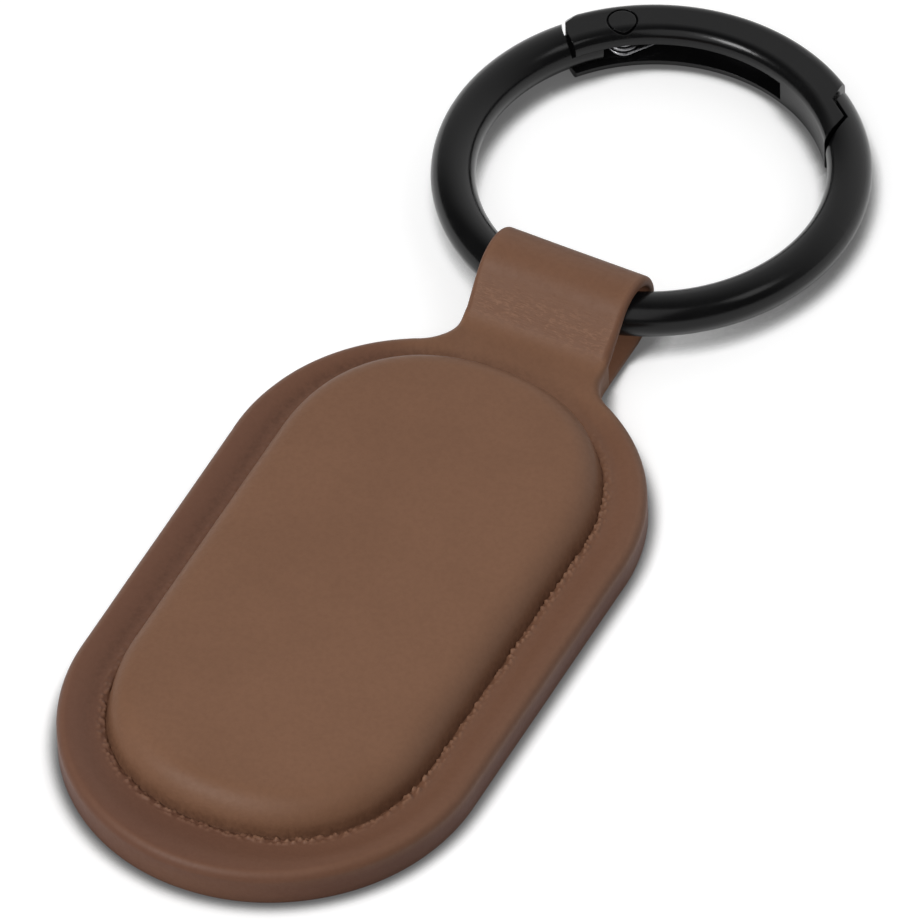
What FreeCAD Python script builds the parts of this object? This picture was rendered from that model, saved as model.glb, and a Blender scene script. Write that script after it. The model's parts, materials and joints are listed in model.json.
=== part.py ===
import FreeCAD, Part
import math
import os

Vector = FreeCAD.Vector

# Tracker tag holder: a leather pod with a built-in tracker tag, and a spring-gate ring in its strap loop.
# It lies on its back on Z = 0 with the strap along +Y, and its origin is the middle of its footprint.

# Coin cell and the door behind it
cell_diameter = 20.0
cell_height = 3.2
cell_setback = 1.8
cell_play = 0.1
cell_cap_margin = 1.2
cell_cap_step = 0.3
cell_seat = 0.05
door_skirt = 0.3
door_skirt_height = 0.45
door_tab_reach = 0.6
door_tab_angle = 36.0
door_tab_count = 3
door_tab_first = 90.0
door_turn = 30.0
door_notch_spare = 3.0
door_lap = 0.15
door_flange = 0.3
coin_slot_length = 12.0
coin_slot_width = 1.8
coin_slot_depth = 0.35
door_play = 0.05
seal_width = 0.35
seal_height = 0.16
seal_play = 0.02

# Tag housing
tag_straight = 28.6
tab_clearance = 0.2
plateau_wall = 0.75
plateau_recess = 0.2
tag_step = 0.9
tag_wall = 0.9
tag_ceiling = 0.65
tag_top_round = 1.2
tag_lip_lap = 0.3
part_clearance = 0.1
sound_hole_diameter = 1.0
sound_hole_spacing = 1.9
sound_hole_inset = 7.1
sound_hole_count = 5

# Circuit board and what it carries
circuit_thickness = 0.6
circuit_margin = 0.2
circuit_cell_gap = 0.6
circuit_start_share = 0.5
contact_thickness = 0.12
contact_width = 4.0
contact_foot = 2.4
shield_width = 10.0
shield_length = 8.0
shield_height = 1.0
shield_offset = 11.5
buzzer_size = 8.0
buzzer_height = 1.1
button_offset = 10.5
button_diameter = 5.0
button_flange = 0.6
button_flange_height = 0.3
button_recess = 0.05
button_travel = 0.3
switch_size = 3.6
switch_plunger_diameter = 1.7
switch_plunger_height = 0.2

# Leather holder
leather = 0.9
board_thickness = 1.4
border_width = 4.4
pod_allowance = 2.4
pod_straight = 28.2
pod_offset = 0.85
foam_thickness = 0.6
foam_margin = 0.6
foam_gap = 0.05
pod_crown = 0.2
pod_shoulder = 2.2
pod_wall_lean = 10.0
crease_round = 0.45
crease_depth = 0.3
rim_round = 0.7
back_round = 0.5

# Neck and strap loop
strap_width = 14.6
neck_round = 4.2
bend_round = 1.0
strap_climb = 50.0
swing_clearance = 0.1
seam_gap = 0.1
tongue_reach = 1.0

# Spring-gate ring
ring_overhang = 0.3
wire_diameter = 4.1
gate_width = 4.2
gate_round = 1.15
gate_drop = 0.25
gate_base_round = 0.45
pivot_angle = 126.0
pivot_inset = 0.4
slot_end_angle = 70.0
nose_step_angle = 51.0
nose_end_angle = 42.6
stop_angle = 47.0
stop_lean = 5.5
tail_reach = 5.2
tail_crown_radius = 11.4
tail_crown_depth = 6.0
gate_gap = 0.35
slot_roof = 1.6
slot_floor = 0.75
slot_web = 1.05
slot_clearance = 0.08

# Rivet and torsion spring of the gate
rivet_diameter = 1.5
rivet_head_diameter = 2.5
rivet_head_depth = 0.65
rivet_groove = 0.2
rivet_foot_diameter = 2.0
rivet_foot_depth = 0.4
rivet_clearance = 0.05
eye_thickness = 0.4
eye_wall = 0.5
spring_wire = 0.32
spring_play = 0.42
spring_turns = 2
spring_lean = 20.0
spring_leg = 3.2
spring_stub = 0.6
spring_hook = 0.45
spring_seat = 0.05
pocket_gap = 0.2

# Shared by all cuts, and the tolerance within which two places are the same
overrun = 1.0
match = 0.0001

# Worked out from the sizes above
cell_radius = cell_diameter / 2
cell_low = leather + cell_seat
cell_top = cell_low + cell_height
door_boss_radius = cell_radius + cell_play + door_skirt
door_tab_radius = door_boss_radius + door_tab_reach
door_radius = door_tab_radius + door_lap
back_cavity_half = door_tab_radius + tab_clearance
plateau_half = door_radius + part_clearance + plateau_wall
tag_half = plateau_half + tag_step
circuit_half = tag_half - tag_wall - circuit_margin
crease_half = tag_half + pod_allowance
tag_lip_half = crease_half + tag_lip_lap
half_width = crease_half + border_width
spine_half = tag_straight / 2
pod_spine = pod_straight / 2
holder_end = spine_half + half_width
cell_y = cell_setback - spine_half
cell_edge_y = cell_y + cell_radius
button_y = cell_edge_y + button_offset
shield_y = cell_edge_y + shield_offset
sound_hole_y = spine_half + circuit_half - sound_hole_inset
board_top = leather + board_thickness
flange_top = board_top + leather
cavity_top = cell_top + contact_thickness + part_clearance
tag_top = cavity_top + tag_ceiling
foam_top = tag_top + foam_thickness
pod_top = foam_top + foam_gap + leather + pod_crown
circuit_low = board_top
circuit_top = circuit_low + circuit_thickness
strap_half = strap_width / 2
wire_radius = wire_diameter / 2
ring_outer = half_width + ring_overhang
ring_radius = ring_outer - wire_radius
ring_inner = ring_radius - wire_radius
inner_at_strap = math.sqrt(ring_inner ** 2 - strap_half ** 2)
axis_to_centre = (ring_outer + inner_at_strap) / 2
tunnel_radius = ring_outer - axis_to_centre + swing_clearance
loop_radius = tunnel_radius + leather
loop_z = loop_radius
neck_centre_x = strap_half + neck_round
bend_y = spine_half + math.sqrt((half_width + neck_round) ** 2 - neck_centre_x ** 2)
climb = math.radians(strap_climb)
bend_drop = flange_top + bend_round - loop_z
loop_y = bend_y + (bend_round + loop_radius - bend_drop * math.cos(climb)) / math.sin(climb)
gate_half = gate_width / 2
gate_core = gate_half - gate_round
gate_base = gate_half + gate_drop
base_core = gate_half - gate_base_round
base_fall = gate_base - gate_base_round
ring_arm = axis_to_centre + ring_radius
rest_arm = math.hypot(ring_arm + base_core, base_fall)
rest_lead = math.atan2(base_fall, ring_arm + base_core)
tilt = math.asin((loop_z - gate_base_round) / rest_arm) - rest_lead
ring_tilt = math.degrees(tilt)
far_edge = loop_y + (ring_arm + gate_core) * math.cos(tilt) + gate_core * math.sin(tilt) + gate_round
origin_y = (far_edge - holder_end) / 2
slot_low = slot_floor - gate_base
slot_high = gate_half - slot_roof
slot_depth = gate_half - slot_web
tongue_low = slot_low + slot_clearance
tongue_high = slot_high - slot_clearance
eye_top = tongue_low + eye_thickness
rivet_radius = rivet_diameter / 2
rivet_head_radius = rivet_head_diameter / 2
rivet_head_floor = gate_half - rivet_head_depth
rivet_foot_radius = rivet_foot_diameter / 2
rivet_foot_top = rivet_foot_depth - gate_base
eye_radius = rivet_radius + rivet_clearance + eye_wall
spring_radius = rivet_radius + spring_play + spring_wire / 2
pocket_radius = max(eye_radius, spring_radius + spring_wire / 2) + pocket_gap
tongue_face = spring_radius + spring_wire + spring_stub


def polar(radius, degrees, z=0.0):
    """Point at a radius and an angle from +X about the Z axis."""
    turn = math.radians(degrees)
    return Vector(radius * math.cos(turn), radius * math.sin(turn), z)


def closed_face(edges):
    """Flat face inside a closed run of lines and arcs."""
    return Part.Face(Part.Wire([edge.toShape() for edge in edges]))


def cylinder(centre, radius, low, high):
    """Upright cylinder about a centre, between two heights."""
    return Part.makeCylinder(radius, high - low, Vector(centre.x, centre.y, low))


def block(width, length, low, high, y):
    """Box centred on X = 0 and on a Y place, between two heights."""
    return Part.makeBox(width, length, high - low, Vector(-width / 2, y - length / 2, low))


def sector(centre, radius, low, high, first, sweep):
    """Upright wedge of a cylinder about a centre, from a first angle over a sweep."""
    wedge = Part.makeCylinder(radius, high - low, Vector(0, 0, 0), Vector(0, 0, 1), sweep)
    wedge.rotate(Vector(0, 0, 0), Vector(0, 0, 1), first)
    return wedge.translated(Vector(centre.x, centre.y, low))


def capsule(half, low, high):
    """Upright capsule round the holder's spine, between two heights."""
    right_far = Vector(half, spine_half, low)
    left_far = Vector(-half, spine_half, low)
    left_near = Vector(-half, -spine_half, low)
    right_near = Vector(half, -spine_half, low)
    face = closed_face([
        Part.LineSegment(right_near, right_far),
        Part.Arc(right_far, Vector(0, spine_half + half, low), left_far),
        Part.LineSegment(left_far, left_near),
        Part.Arc(left_near, Vector(0, -spine_half - half, low), right_near),
    ])
    return face.extrude(Vector(0, 0, high - low))


def on_pod(shape):
    """Piece moved from the middle of the flange to the pod's place, nearer to the strap."""
    return shape.translated(Vector(0, pod_offset, 0))


def turned_capsule(edges):
    """Half section in the XZ plane, turned about both ends of the pod's spine and drawn along it."""
    section = closed_face(edges)
    near = Vector(0, -pod_spine, 0)
    far = Vector(0, pod_spine, 0)
    straight = section.translated(near).extrude(far - near)
    mirrored = straight.mirror(Vector(0, 0, 0), Vector(1, 0, 0))
    far_end = section.translated(far).revolve(far, Vector(0, 0, 1), 180)
    near_end = section.translated(near).revolve(near, Vector(0, 0, 1), -180)
    return straight.fuse([mirrored, far_end, near_end]).removeSplitter()


def pod_solid(inset, base):
    """Pod with leaning walls, rounded shoulders and a crowned top, drawn in by an inset all round."""
    lean = math.radians(pod_wall_lean)
    shoulder = pod_shoulder - inset
    edge_top = pod_top - pod_crown - inset

    def wall(z):
        return crease_half - inset / math.cos(lean) - (z - flange_top) * math.tan(lean)

    reach = shoulder * math.tan((math.pi / 2 - lean) / 2)
    top_end = wall(edge_top) - reach
    wall_end = Vector(wall(edge_top) + reach * math.sin(lean), 0, edge_top - reach * math.cos(lean))
    middle = (math.pi / 2 + lean) / 2
    shoulder_middle = Vector(
        top_end + shoulder * math.cos(middle), 0, edge_top - shoulder + shoulder * math.sin(middle))
    crown_radius = (top_end ** 2 + pod_crown ** 2) / (2 * pod_crown)
    crown_middle = edge_top + pod_crown - crown_radius + math.sqrt(crown_radius ** 2 - (top_end / 2) ** 2)
    summit = Vector(0, 0, edge_top + pod_crown)
    return turned_capsule([
        Part.LineSegment(Vector(0, 0, base), Vector(wall(base), 0, base)),
        Part.LineSegment(Vector(wall(base), 0, base), wall_end),
        Part.Arc(wall_end, shoulder_middle, Vector(top_end, 0, edge_top)),
        Part.Arc(Vector(top_end, 0, edge_top), Vector(top_end / 2, 0, crown_middle), summit),
        Part.LineSegment(summit, Vector(0, 0, base)),
    ])


def plan_solid(low, high, end_y):
    """Outline of the holder seen from above: capsule, neck with hollow rounds, and strap to an end."""
    centre = Vector(neck_centre_x, bend_y, low)
    towards = Vector(-neck_centre_x, spine_half - bend_y, 0).normalize()
    touch = centre + towards * neck_round
    middle = centre + (towards + Vector(-1, 0, 0)).normalize() * neck_round
    top = Vector(strap_half, bend_y, low)
    end = Vector(strap_half, end_y, low)

    def left(point):
        return Vector(-point.x, point.y, point.z)

    edges = [
        Part.Arc(top, middle, touch),
        Part.LineSegment(touch, left(touch)),
        Part.Arc(left(touch), left(middle), left(top)),
    ]
    if end_y > bend_y:
        edges += [
            Part.LineSegment(left(top), left(end)),
            Part.LineSegment(left(end), end),
            Part.LineSegment(end, top),
        ]
    else:
        edges.append(Part.LineSegment(left(top), top))
    neck = closed_face(edges).extrude(Vector(0, 0, high - low))
    return capsule(half_width, low, high).fuse(neck).removeSplitter()


def bend_point(radius, angle):
    """Point of the strap's bend, in the YZ plane, at an angle from the flat."""
    return Vector(0, bend_y + radius * math.sin(angle), flange_top + bend_round - radius * math.cos(angle))


def loop_point(radius, angle):
    """Point about the loop's axis, in the YZ plane, at an angle up from +Y."""
    return Vector(0, loop_y + radius * math.cos(angle), loop_z + radius * math.sin(angle))


def side_profile():
    """Side of the front cover: flange, climbing strap, loop, and the tail that returns under it."""
    leave = math.pi / 2 + climb
    low = -math.pi / 2
    inner_bend = bend_round + leather
    flange_start = Vector(0, -holder_end - overrun, flange_top)
    turned_edge = Vector(0, -holder_end - overrun, leather)
    tail_low = Vector(0, bend_y + seam_gap, 0)
    tail_high = Vector(0, bend_y + seam_gap, leather)
    neck_low = Vector(0, bend_y, leather)

    def bend(radius, start, end):
        return Part.Arc(
            bend_point(radius, start), bend_point(radius, climb / 2), bend_point(radius, end))

    def loop(radius, start, end):
        return Part.Arc(
            loop_point(radius, start), loop_point(radius, (start + end) / 2), loop_point(radius, end))

    return closed_face([
        Part.LineSegment(flange_start, bend_point(bend_round, 0)),
        bend(bend_round, 0, climb),
        Part.LineSegment(bend_point(bend_round, climb), loop_point(loop_radius, leave)),
        loop(loop_radius, leave, 0),
        loop(loop_radius, 0, low),
        Part.LineSegment(loop_point(loop_radius, low), tail_low),
        Part.LineSegment(tail_low, tail_high),
        Part.LineSegment(tail_high, loop_point(tunnel_radius, low)),
        loop(tunnel_radius, low, 0),
        loop(tunnel_radius, 0, leave),
        Part.LineSegment(loop_point(tunnel_radius, leave), bend_point(inner_bend, climb)),
        bend(inner_bend, climb, 0),
        Part.LineSegment(bend_point(inner_bend, 0), neck_low),
        Part.LineSegment(neck_low, turned_edge),
        Part.LineSegment(turned_edge, flange_start),
    ])


def outer_edges(solid):
    """Edges along the top of the flange's outline and along both sides of the strap's outer face."""
    leave = math.pi / 2 + climb
    strap_marks = [
        bend_point(bend_round, climb / 2),
        (bend_point(bend_round, climb) + loop_point(loop_radius, leave)) / 2,
        loop_point(loop_radius, leave / 2),
        loop_point(loop_radius, -math.pi / 4),
    ]
    chosen = []
    for edge in solid.Edges:
        middle = edge.valueAt((edge.FirstParameter + edge.LastParameter) / 2)
        on_flange = edge.BoundBox.ZMin > flange_top - match and edge.BoundBox.ZMax < flange_top + match
        on_strap = any((Vector(0, middle.y, middle.z) - mark).Length < match for mark in strap_marks)
        across = edge.BoundBox.YLength < match
        if (on_flange or on_strap) and not across:
            chosen.append(edge)
    return chosen


def crease_groove():
    """Pressed groove round the foot of the pod."""
    middle = Vector(crease_half, 0, flange_top - crease_depth + crease_round)
    side = Vector(crease_round, 0, 0)
    lift = Vector(0, 0, crease_round)
    return turned_capsule([
        Part.Arc(middle - side, middle - lift, middle + side),
        Part.LineSegment(middle + side, middle + side + lift),
        Part.LineSegment(middle + side + lift, middle - side + lift),
        Part.LineSegment(middle - side + lift, middle - side),
    ])


def board_solid(clearance):
    """Stiffener board between the covers, with its tongue through the neck."""
    side = leather + clearance
    tongue = Part.makeBox(
        strap_width - 2 * side, bend_y + tongue_reach, board_thickness, Vector(side - strap_half, 0, leather))
    return capsule(half_width - side, leather, board_top).fuse(tongue).removeSplitter()


def front_cover():
    """Front leather: flange with a turned edge, moulded pod, neck, strap loop and tail."""
    plan = plan_solid(-overrun, loop_z + loop_radius + overrun, loop_y + loop_radius + overrun)
    side = side_profile().translated(Vector(-half_width - overrun, 0, 0))
    cover = plan.common(side.extrude(Vector(2 * (half_width + overrun), 0, 0))).removeSplitter().Solids[0]
    cover = cover.makeFillet(rim_round, outer_edges(cover))
    cover = cover.cut(on_pod(crease_groove())).fuse(on_pod(pod_solid(0, board_top))).removeSplitter()
    return cover.cut(board_solid(0)).cut(on_pod(pod_solid(leather, leather))).removeSplitter()


def back_cover():
    """Back leather with the window through which the tag's back shows."""
    cover = plan_solid(0, leather, bend_y).Solids[0]
    rim = [edge for edge in cover.Edges if edge.BoundBox.ZMax < match and edge.BoundBox.YLength > match]
    cover = cover.makeFillet(back_round, rim)
    return cover.cut(on_pod(capsule(plateau_half + part_clearance, -overrun, leather + overrun)))


def stiffener_board():
    """Board that fills the border between the covers, round the tag's lip."""
    window = capsule(tag_lip_half + part_clearance, leather - overrun, board_top + overrun)
    return board_solid(part_clearance).cut(on_pod(window))


def pod_foam():
    """Thin foam between the tag and the leather of the pod."""
    return capsule(tag_half - tag_top_round - foam_margin, tag_top, foam_top)


def cell_centre():
    """Middle of the coin cell and of its door, seen from above."""
    return Vector(0, cell_y, 0)


def tab_wedges(radius, low, high, turn, spare):
    """Wedges of the door's tabs, or of the notches that let them through."""
    centre = cell_centre()
    wedges = []
    for index in range(door_tab_count):
        middle = door_tab_first + turn + index * 360 / door_tab_count
        sweep = door_tab_angle + spare
        wedges.append(sector(centre, radius, low, high, middle - sweep / 2, sweep))
    return wedges


def tag_back_shell():
    """Back of the tag: lip held between the covers, raised back, door seat, button hole and sound holes."""
    centre = cell_centre()
    flange_seat = plateau_recess + door_flange + door_play
    through = leather + overrun
    shell = capsule(tag_lip_half, leather, board_top).fuse(capsule(plateau_half, plateau_recess, leather))
    cuts = [
        capsule(back_cavity_half, leather, board_top + overrun),
        cylinder(centre, door_radius + part_clearance, plateau_recess - overrun, flange_seat),
        cylinder(centre, door_boss_radius + part_clearance, plateau_recess - overrun, through),
        cylinder(Vector(0, button_y, 0), button_diameter / 2 + part_clearance, -overrun, through),
    ]
    notch_radius = door_tab_radius + part_clearance
    cuts += tab_wedges(notch_radius, flange_seat - overrun, through, door_turn, door_notch_spare)
    for index in range(sound_hole_count):
        x = (index - (sound_hole_count - 1) / 2) * sound_hole_spacing
        cuts.append(cylinder(Vector(x, sound_hole_y, 0), sound_hole_diameter / 2, -overrun, through))
    return shell.removeSplitter().cut(cuts).removeSplitter()


def tag_front_shell():
    """Front of the tag: rounded cap that stands on the back's lip."""
    shell = capsule(tag_half, board_top, tag_top)
    rim = [edge for edge in shell.Edges if edge.BoundBox.ZMin > tag_top - match]
    shell = shell.makeFillet(tag_top_round, rim)
    return shell.cut(capsule(tag_half - tag_wall, board_top - overrun, cavity_top))


def coin_cell():
    """Coin cell with its narrower cap uppermost."""
    can = cylinder(cell_centre(), cell_radius, cell_low, cell_top - cell_cap_step)
    cap = cylinder(cell_centre(), cell_radius - cell_cap_margin, cell_top - cell_cap_step, cell_top)
    return can.fuse(cap).removeSplitter()


def seal_ring(play):
    """Ring that fills the groove in the door's edge, less some play at its inside and its flanks."""
    low = plateau_recess + (door_flange - seal_height) / 2 + play
    high = low + seal_height - 2 * play
    outside = cylinder(cell_centre(), door_radius, low, high)
    return outside.cut(cylinder(cell_centre(), door_radius - seal_width + play, low, high))


def battery_door():
    """Twist door: flange with a coin slot, boss, skirt round the cell, and bayonet tabs over the ledge."""
    centre = cell_centre()
    skirt_top = leather + door_skirt_height
    tab_low = leather + door_play
    flange = cylinder(centre, door_radius, plateau_recess, plateau_recess + door_flange)
    boss = cylinder(centre, door_boss_radius, plateau_recess, skirt_top)
    door = flange.fuse([boss] + tab_wedges(door_tab_radius, tab_low, skirt_top, 0, 0))
    door = door.cut(cylinder(centre, cell_radius + cell_play, leather, skirt_top + overrun))
    slot = block(coin_slot_length, coin_slot_width, -overrun, plateau_recess + coin_slot_depth, cell_y)
    return door.cut([slot, seal_ring(0)]).removeSplitter()


def door_seal():
    """Rubber ring in the door's edge groove."""
    return seal_ring(seal_play)


def circuit_board():
    """Board on the ledge of the tag's back, cut round the coin cell."""
    board = capsule(circuit_half, circuit_low, circuit_top)
    start_y = cell_y + cell_radius * circuit_start_share
    low = circuit_low - overrun
    high = circuit_top + overrun
    near = block(holder_end, holder_end, low, high, start_y - holder_end / 2)
    round_cell = cylinder(cell_centre(), cell_radius + circuit_cell_gap, low, high)
    return board.cut([near, round_cell]).removeSplitter()


def negative_contact():
    """Leaf over the cell's cap, with a leg down to the circuit board."""
    reach = cell_edge_y + circuit_cell_gap + contact_foot
    length = reach - cell_y
    leaf = block(contact_width, length, cell_top, cell_top + contact_thickness, cell_y + length / 2)
    leg_y = reach - contact_thickness / 2
    leg = block(contact_width, contact_thickness, circuit_top, cell_top + contact_thickness, leg_y)
    return leaf.fuse(leg).removeSplitter()


def positive_contact():
    """Spring plate against the cell's side, with a foot under the circuit board."""
    start = cell_edge_y + cell_play
    plate_y = start + contact_thickness / 2
    low = leather + door_skirt_height + part_clearance
    plate = block(contact_width, contact_thickness, low, circuit_low, plate_y)
    length = circuit_cell_gap + contact_foot
    foot = block(contact_width, length, circuit_low - contact_thickness, circuit_low, start + length / 2)
    return plate.fuse(foot).removeSplitter()


def radio_shield():
    """Metal can on the front of the circuit board."""
    return block(shield_width, shield_length, circuit_top, circuit_top + shield_height, shield_y)


def buzzer():
    """Sounder under the circuit board, above the sound holes."""
    return block(buzzer_size, buzzer_size, circuit_low - buzzer_height, circuit_low, sound_hole_y)


def button_top():
    """Height of the inner end of the button's cap at rest."""
    return leather + button_flange_height


def tact_switch():
    """Switch under the circuit board whose plunger meets the button at the end of its travel."""
    plunger_low = button_top() + button_travel
    body_low = plunger_low + switch_plunger_height
    body = block(switch_size, switch_size, body_low, circuit_low, button_y)
    plunger = cylinder(Vector(0, button_y, 0), switch_plunger_diameter / 2, plunger_low, body_low)
    return body.fuse(plunger).removeSplitter()


def button_cap():
    """Button through the tag's back, with a flange that keeps it in."""
    centre = Vector(0, button_y, 0)
    low = plateau_recess + button_recess
    stem = cylinder(centre, button_diameter / 2, low, button_top())
    flange = cylinder(centre, button_diameter / 2 + button_flange, leather, button_top())
    return stem.fuse(flange).removeSplitter()


def pivot():
    """Rivet's place a little inside the ring's middle circle, with the ring's centre at the origin."""
    return polar(ring_radius - pivot_inset, pivot_angle)


def ring_torus():
    """Whole ring of round wire about the Z axis."""
    return Part.makeTorus(ring_radius, wire_radius)


def gate_bar():
    """Whole ring of the gate's bar about the Z axis, with wide rounds above and small ones below."""
    middle = Vector(0, 0, 0)
    bar = cylinder(middle, ring_radius + gate_half, -gate_base, gate_half)
    bar = bar.cut(cylinder(middle, ring_radius - gate_half, -gate_base - overrun, gate_half + overrun))
    return rounded(rounded(bar, -gate_base, gate_base_round), gate_half, gate_round)


def rounded(solid, height, radius):
    """Turned solid with the round edges at a height rounded over."""
    edges = [edge for edge in solid.Edges if isinstance(edge.Curve, Part.Circle)]
    return solid.makeFillet(radius, [edge for edge in edges if abs(edge.Curve.Center.z - height) < match])


def tail_corner():
    """Space outside a ball that rounds the gate's tail off towards the ring's wire."""
    centre = polar(ring_radius - tail_crown_depth, pivot_angle, -tail_crown_depth)
    ball = Part.makeSphere(tail_crown_radius, centre)
    return half_space(Vector(0, 0, 0), pivot_angle + 180, ring_outer).cut(ball)


def chord(angle):
    """Distance from the rivet to a point of the ring's middle circle."""
    return (polar(ring_radius, angle) - pivot()).Length


def half_space(point, angle, depth):
    """Block on the side of a line that lies to the right of its direction."""
    size = 2 * depth
    half = Part.makeBox(2 * size, size, size, Vector(-size, -size, -size / 2))
    half.rotate(Vector(0, 0, 0), Vector(0, 0, 1), angle)
    return half.translated(point)


def gate_zone(gap):
    """Space of the gate, from its rounded tail at the rivet to its stepped nose, widened by a gap."""
    low = -gate_base - overrun
    high = gate_half + overrun
    step = cylinder(pivot(), chord(nose_step_angle) + gap, low, high)
    nose = cylinder(pivot(), chord(nose_end_angle) + gap, low, high)
    stop = polar(ring_radius + gap, stop_angle)
    nose = nose.common(half_space(stop, stop_angle - 90 + stop_lean, ring_outer))
    nose_side = half_space(Vector(0, 0, 0), pivot_angle, ring_outer)
    front = step.fuse(nose).common(nose_side)
    return front.fuse(cylinder(pivot(), tail_reach + gap, low, high))


def gate_slot(depth, low, high):
    """Channel inside the gate, open to the ring's centre, from its solid nose past its tail."""
    past_tail = pivot_angle + 2 * math.degrees(tail_reach / ring_radius)
    sweep = past_tail - slot_end_angle
    return sector(Vector(0, 0, 0), ring_radius + depth, low, high, slot_end_angle, sweep)


def ring_gate():
    """Gate: rounded bar with a channel, a pocket for the spring, rivet holes and a stepped nose."""
    gate = gate_bar().common(gate_zone(0)).cut(tail_corner())
    cuts = [
        gate_slot(slot_depth, slot_low, slot_high),
        cylinder(pivot(), pocket_radius, slot_low, slot_high),
        cylinder(pivot(), rivet_radius + rivet_clearance, -gate_base, gate_half),
        cylinder(pivot(), rivet_head_radius + rivet_groove, rivet_head_floor, gate_half + overrun),
        cylinder(pivot(), rivet_foot_radius + rivet_clearance, -gate_base - overrun, rivet_foot_top),
    ]
    return gate.cut(cuts).removeSplitter()


def ring_body():
    """Ring with a stepped end for the nose, and a tongue whose eye turns on the rivet."""
    torus = ring_torus()
    tail = tail_reach + gate_gap
    near = cylinder(pivot(), tail + overrun, tongue_low, tongue_high)
    tail_side = half_space(Vector(0, 0, 0), pivot_angle + 180, ring_outer)
    room = gate_slot(slot_depth - slot_clearance, tongue_low, tongue_high)
    tongue = torus.common(near).common(tail_side).common(room)
    spread = math.degrees(tongue_face / ring_radius)
    spring_room = sector(Vector(0, 0, 0), ring_outer, eye_top, wire_radius, pivot_angle - spread, 2 * spread)
    tongue = tongue.cut(spring_room).fuse(cylinder(pivot(), eye_radius, tongue_low, eye_top))
    tongue = tongue.cut(cylinder(pivot(), rivet_radius + rivet_clearance, -wire_radius, wire_radius))
    return torus.cut(gate_zone(gate_gap)).fuse(tongue).removeSplitter()


def gate_rivet():
    """Rivet with a head and a foot, both ground flush with the gate's bar."""
    shank = cylinder(pivot(), rivet_radius, rivet_foot_top, rivet_head_floor)
    head = cylinder(pivot(), rivet_head_radius, rivet_head_floor, gate_half)
    foot = cylinder(pivot(), rivet_foot_radius, -gate_base, rivet_foot_top)
    return shank.fuse([head.common(gate_bar()), foot]).removeSplitter()


def arc_from(start, tangent, end):
    """Arc from a start with a tangent there to an end."""
    across = end - start
    side = tangent - across * (tangent.dot(across) / across.Length ** 2)
    angle = math.acos(tangent.dot(across) / across.Length)
    rise = side.normalize() * (across.Length / 2 * math.tan(angle / 2))
    return Part.Arc(start, (start + end) / 2 + rise, end)


def biarc(start, start_tangent, end, end_tangent):
    """Two arcs from one point and tangent to another, with one tangent where they meet."""
    across = end - start
    both = start_tangent + end_tangent
    spread = 2 * (1 - start_tangent.dot(end_tangent))
    lean = across.dot(both)
    reach = (math.sqrt(lean ** 2 + spread * across.dot(across)) - lean) / spread
    meet = (start + start_tangent * reach + end - end_tangent * reach) / 2
    meet_tangent = (end - end_tangent * reach - start - start_tangent * reach).normalize()
    return [arc_from(start, start_tangent, meet), arc_from(meet, meet_tangent, end)]


def spring_path():
    """Edges of the spring: stub to the tongue, falling turns round the rivet, leg and hooked tip."""
    total = spring_turns * 360 + 2 * spring_lean
    high = tongue_high - spring_wire / 2
    fall = high - eye_top - spring_seat - spring_wire / 2
    quarters = 4 * spring_turns + 1
    slope = fall / (spring_radius * math.radians(total))
    first_angle = pivot_angle + 180 - spring_lean

    def place(turned):
        return pivot() + polar(spring_radius, first_angle + turned, high - fall * turned / total)

    def tangent(turned, fall_share):
        flat = polar(1, first_angle + turned + 90)
        return (flat - Vector(0, 0, slope * fall_share)).normalize()

    turns = [total * index / quarters for index in range(quarters + 1)]
    shares = [0 if turned in (turns[0], turns[-1]) else 1 for turned in turns]
    start = place(0)
    edges = [Part.LineSegment(start - tangent(0, 0) * spring_stub, start)]
    for first, second, share, next_share in zip(turns, turns[1:], shares, shares[1:]):
        edges += biarc(place(first), tangent(first, share), place(second), tangent(second, next_share))
    along = tangent(total, 0)
    outward = Vector(-along.y, along.x, 0)
    leg_end = place(total) + along * spring_leg
    edges.append(Part.LineSegment(place(total), leg_end))
    tip = leg_end + (along + outward) * spring_hook
    edges.append(arc_from(leg_end, along, tip))
    return Part.Wire([edge.toShape() for edge in edges])


def spring_gap(path):
    """Least gap between the spring's turns, measured on points along its path."""
    spacing = spring_wire / 4
    points = path.discretize(Distance=spacing)
    apart = math.ceil(math.pi * spring_radius / spacing)
    nearest = min(
        (first - second).Length
        for index, first in enumerate(points)
        for second in points[index + apart:])
    return nearest - spring_wire


def gate_spring():
    """Torsion spring that closes the gate, one unbroken tube."""
    path = spring_path()
    start = path.OrderedVertexes[0].Point
    first = path.OrderedEdges[0]
    along = first.tangentAt(first.FirstParameter)
    section = Part.Wire([Part.makeCircle(spring_wire / 2, start, along)])
    print("gate spring: least gap between turns", round(spring_gap(path), 3))
    return path.makePipeShell([section], True, False)


def hang_ring(shape):
    """Ring piece moved from its own frame into the strap's loop, with its far side on the ground."""
    hung = shape.translated(Vector(0, axis_to_centre, 0))
    hung.rotate(Vector(0, 0, 0), Vector(1, 0, 0), -ring_tilt)
    return hung.translated(Vector(0, loop_y, loop_z))


cover_parts = [front_cover, back_cover, stiffener_board]
tag_parts = [
    pod_foam, tag_back_shell, tag_front_shell, coin_cell, battery_door, door_seal, circuit_board,
    negative_contact, positive_contact, radio_shield, buzzer, tact_switch, button_cap,
]
ring_parts = [ring_body, ring_gate, gate_rivet, gate_spring]

os.makedirs("parts", exist_ok=True)
for make in cover_parts + tag_parts + ring_parts:
    made = make()
    if make in tag_parts:
        made = on_pod(made)
    if make in ring_parts:
        made = hang_ring(made)
    moved = made.translated(Vector(0, -origin_y, 0))
    print(make.__name__, len(moved.Solids), moved.isValid(), round(moved.Volume, 3))
    moved.exportStep(os.path.join("parts", make.__name__ + ".step"))
print("ring swing axis", round(loop_y - origin_y, 5), round(loop_z, 5), "tilt", round(ring_tilt, 5))
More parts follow.
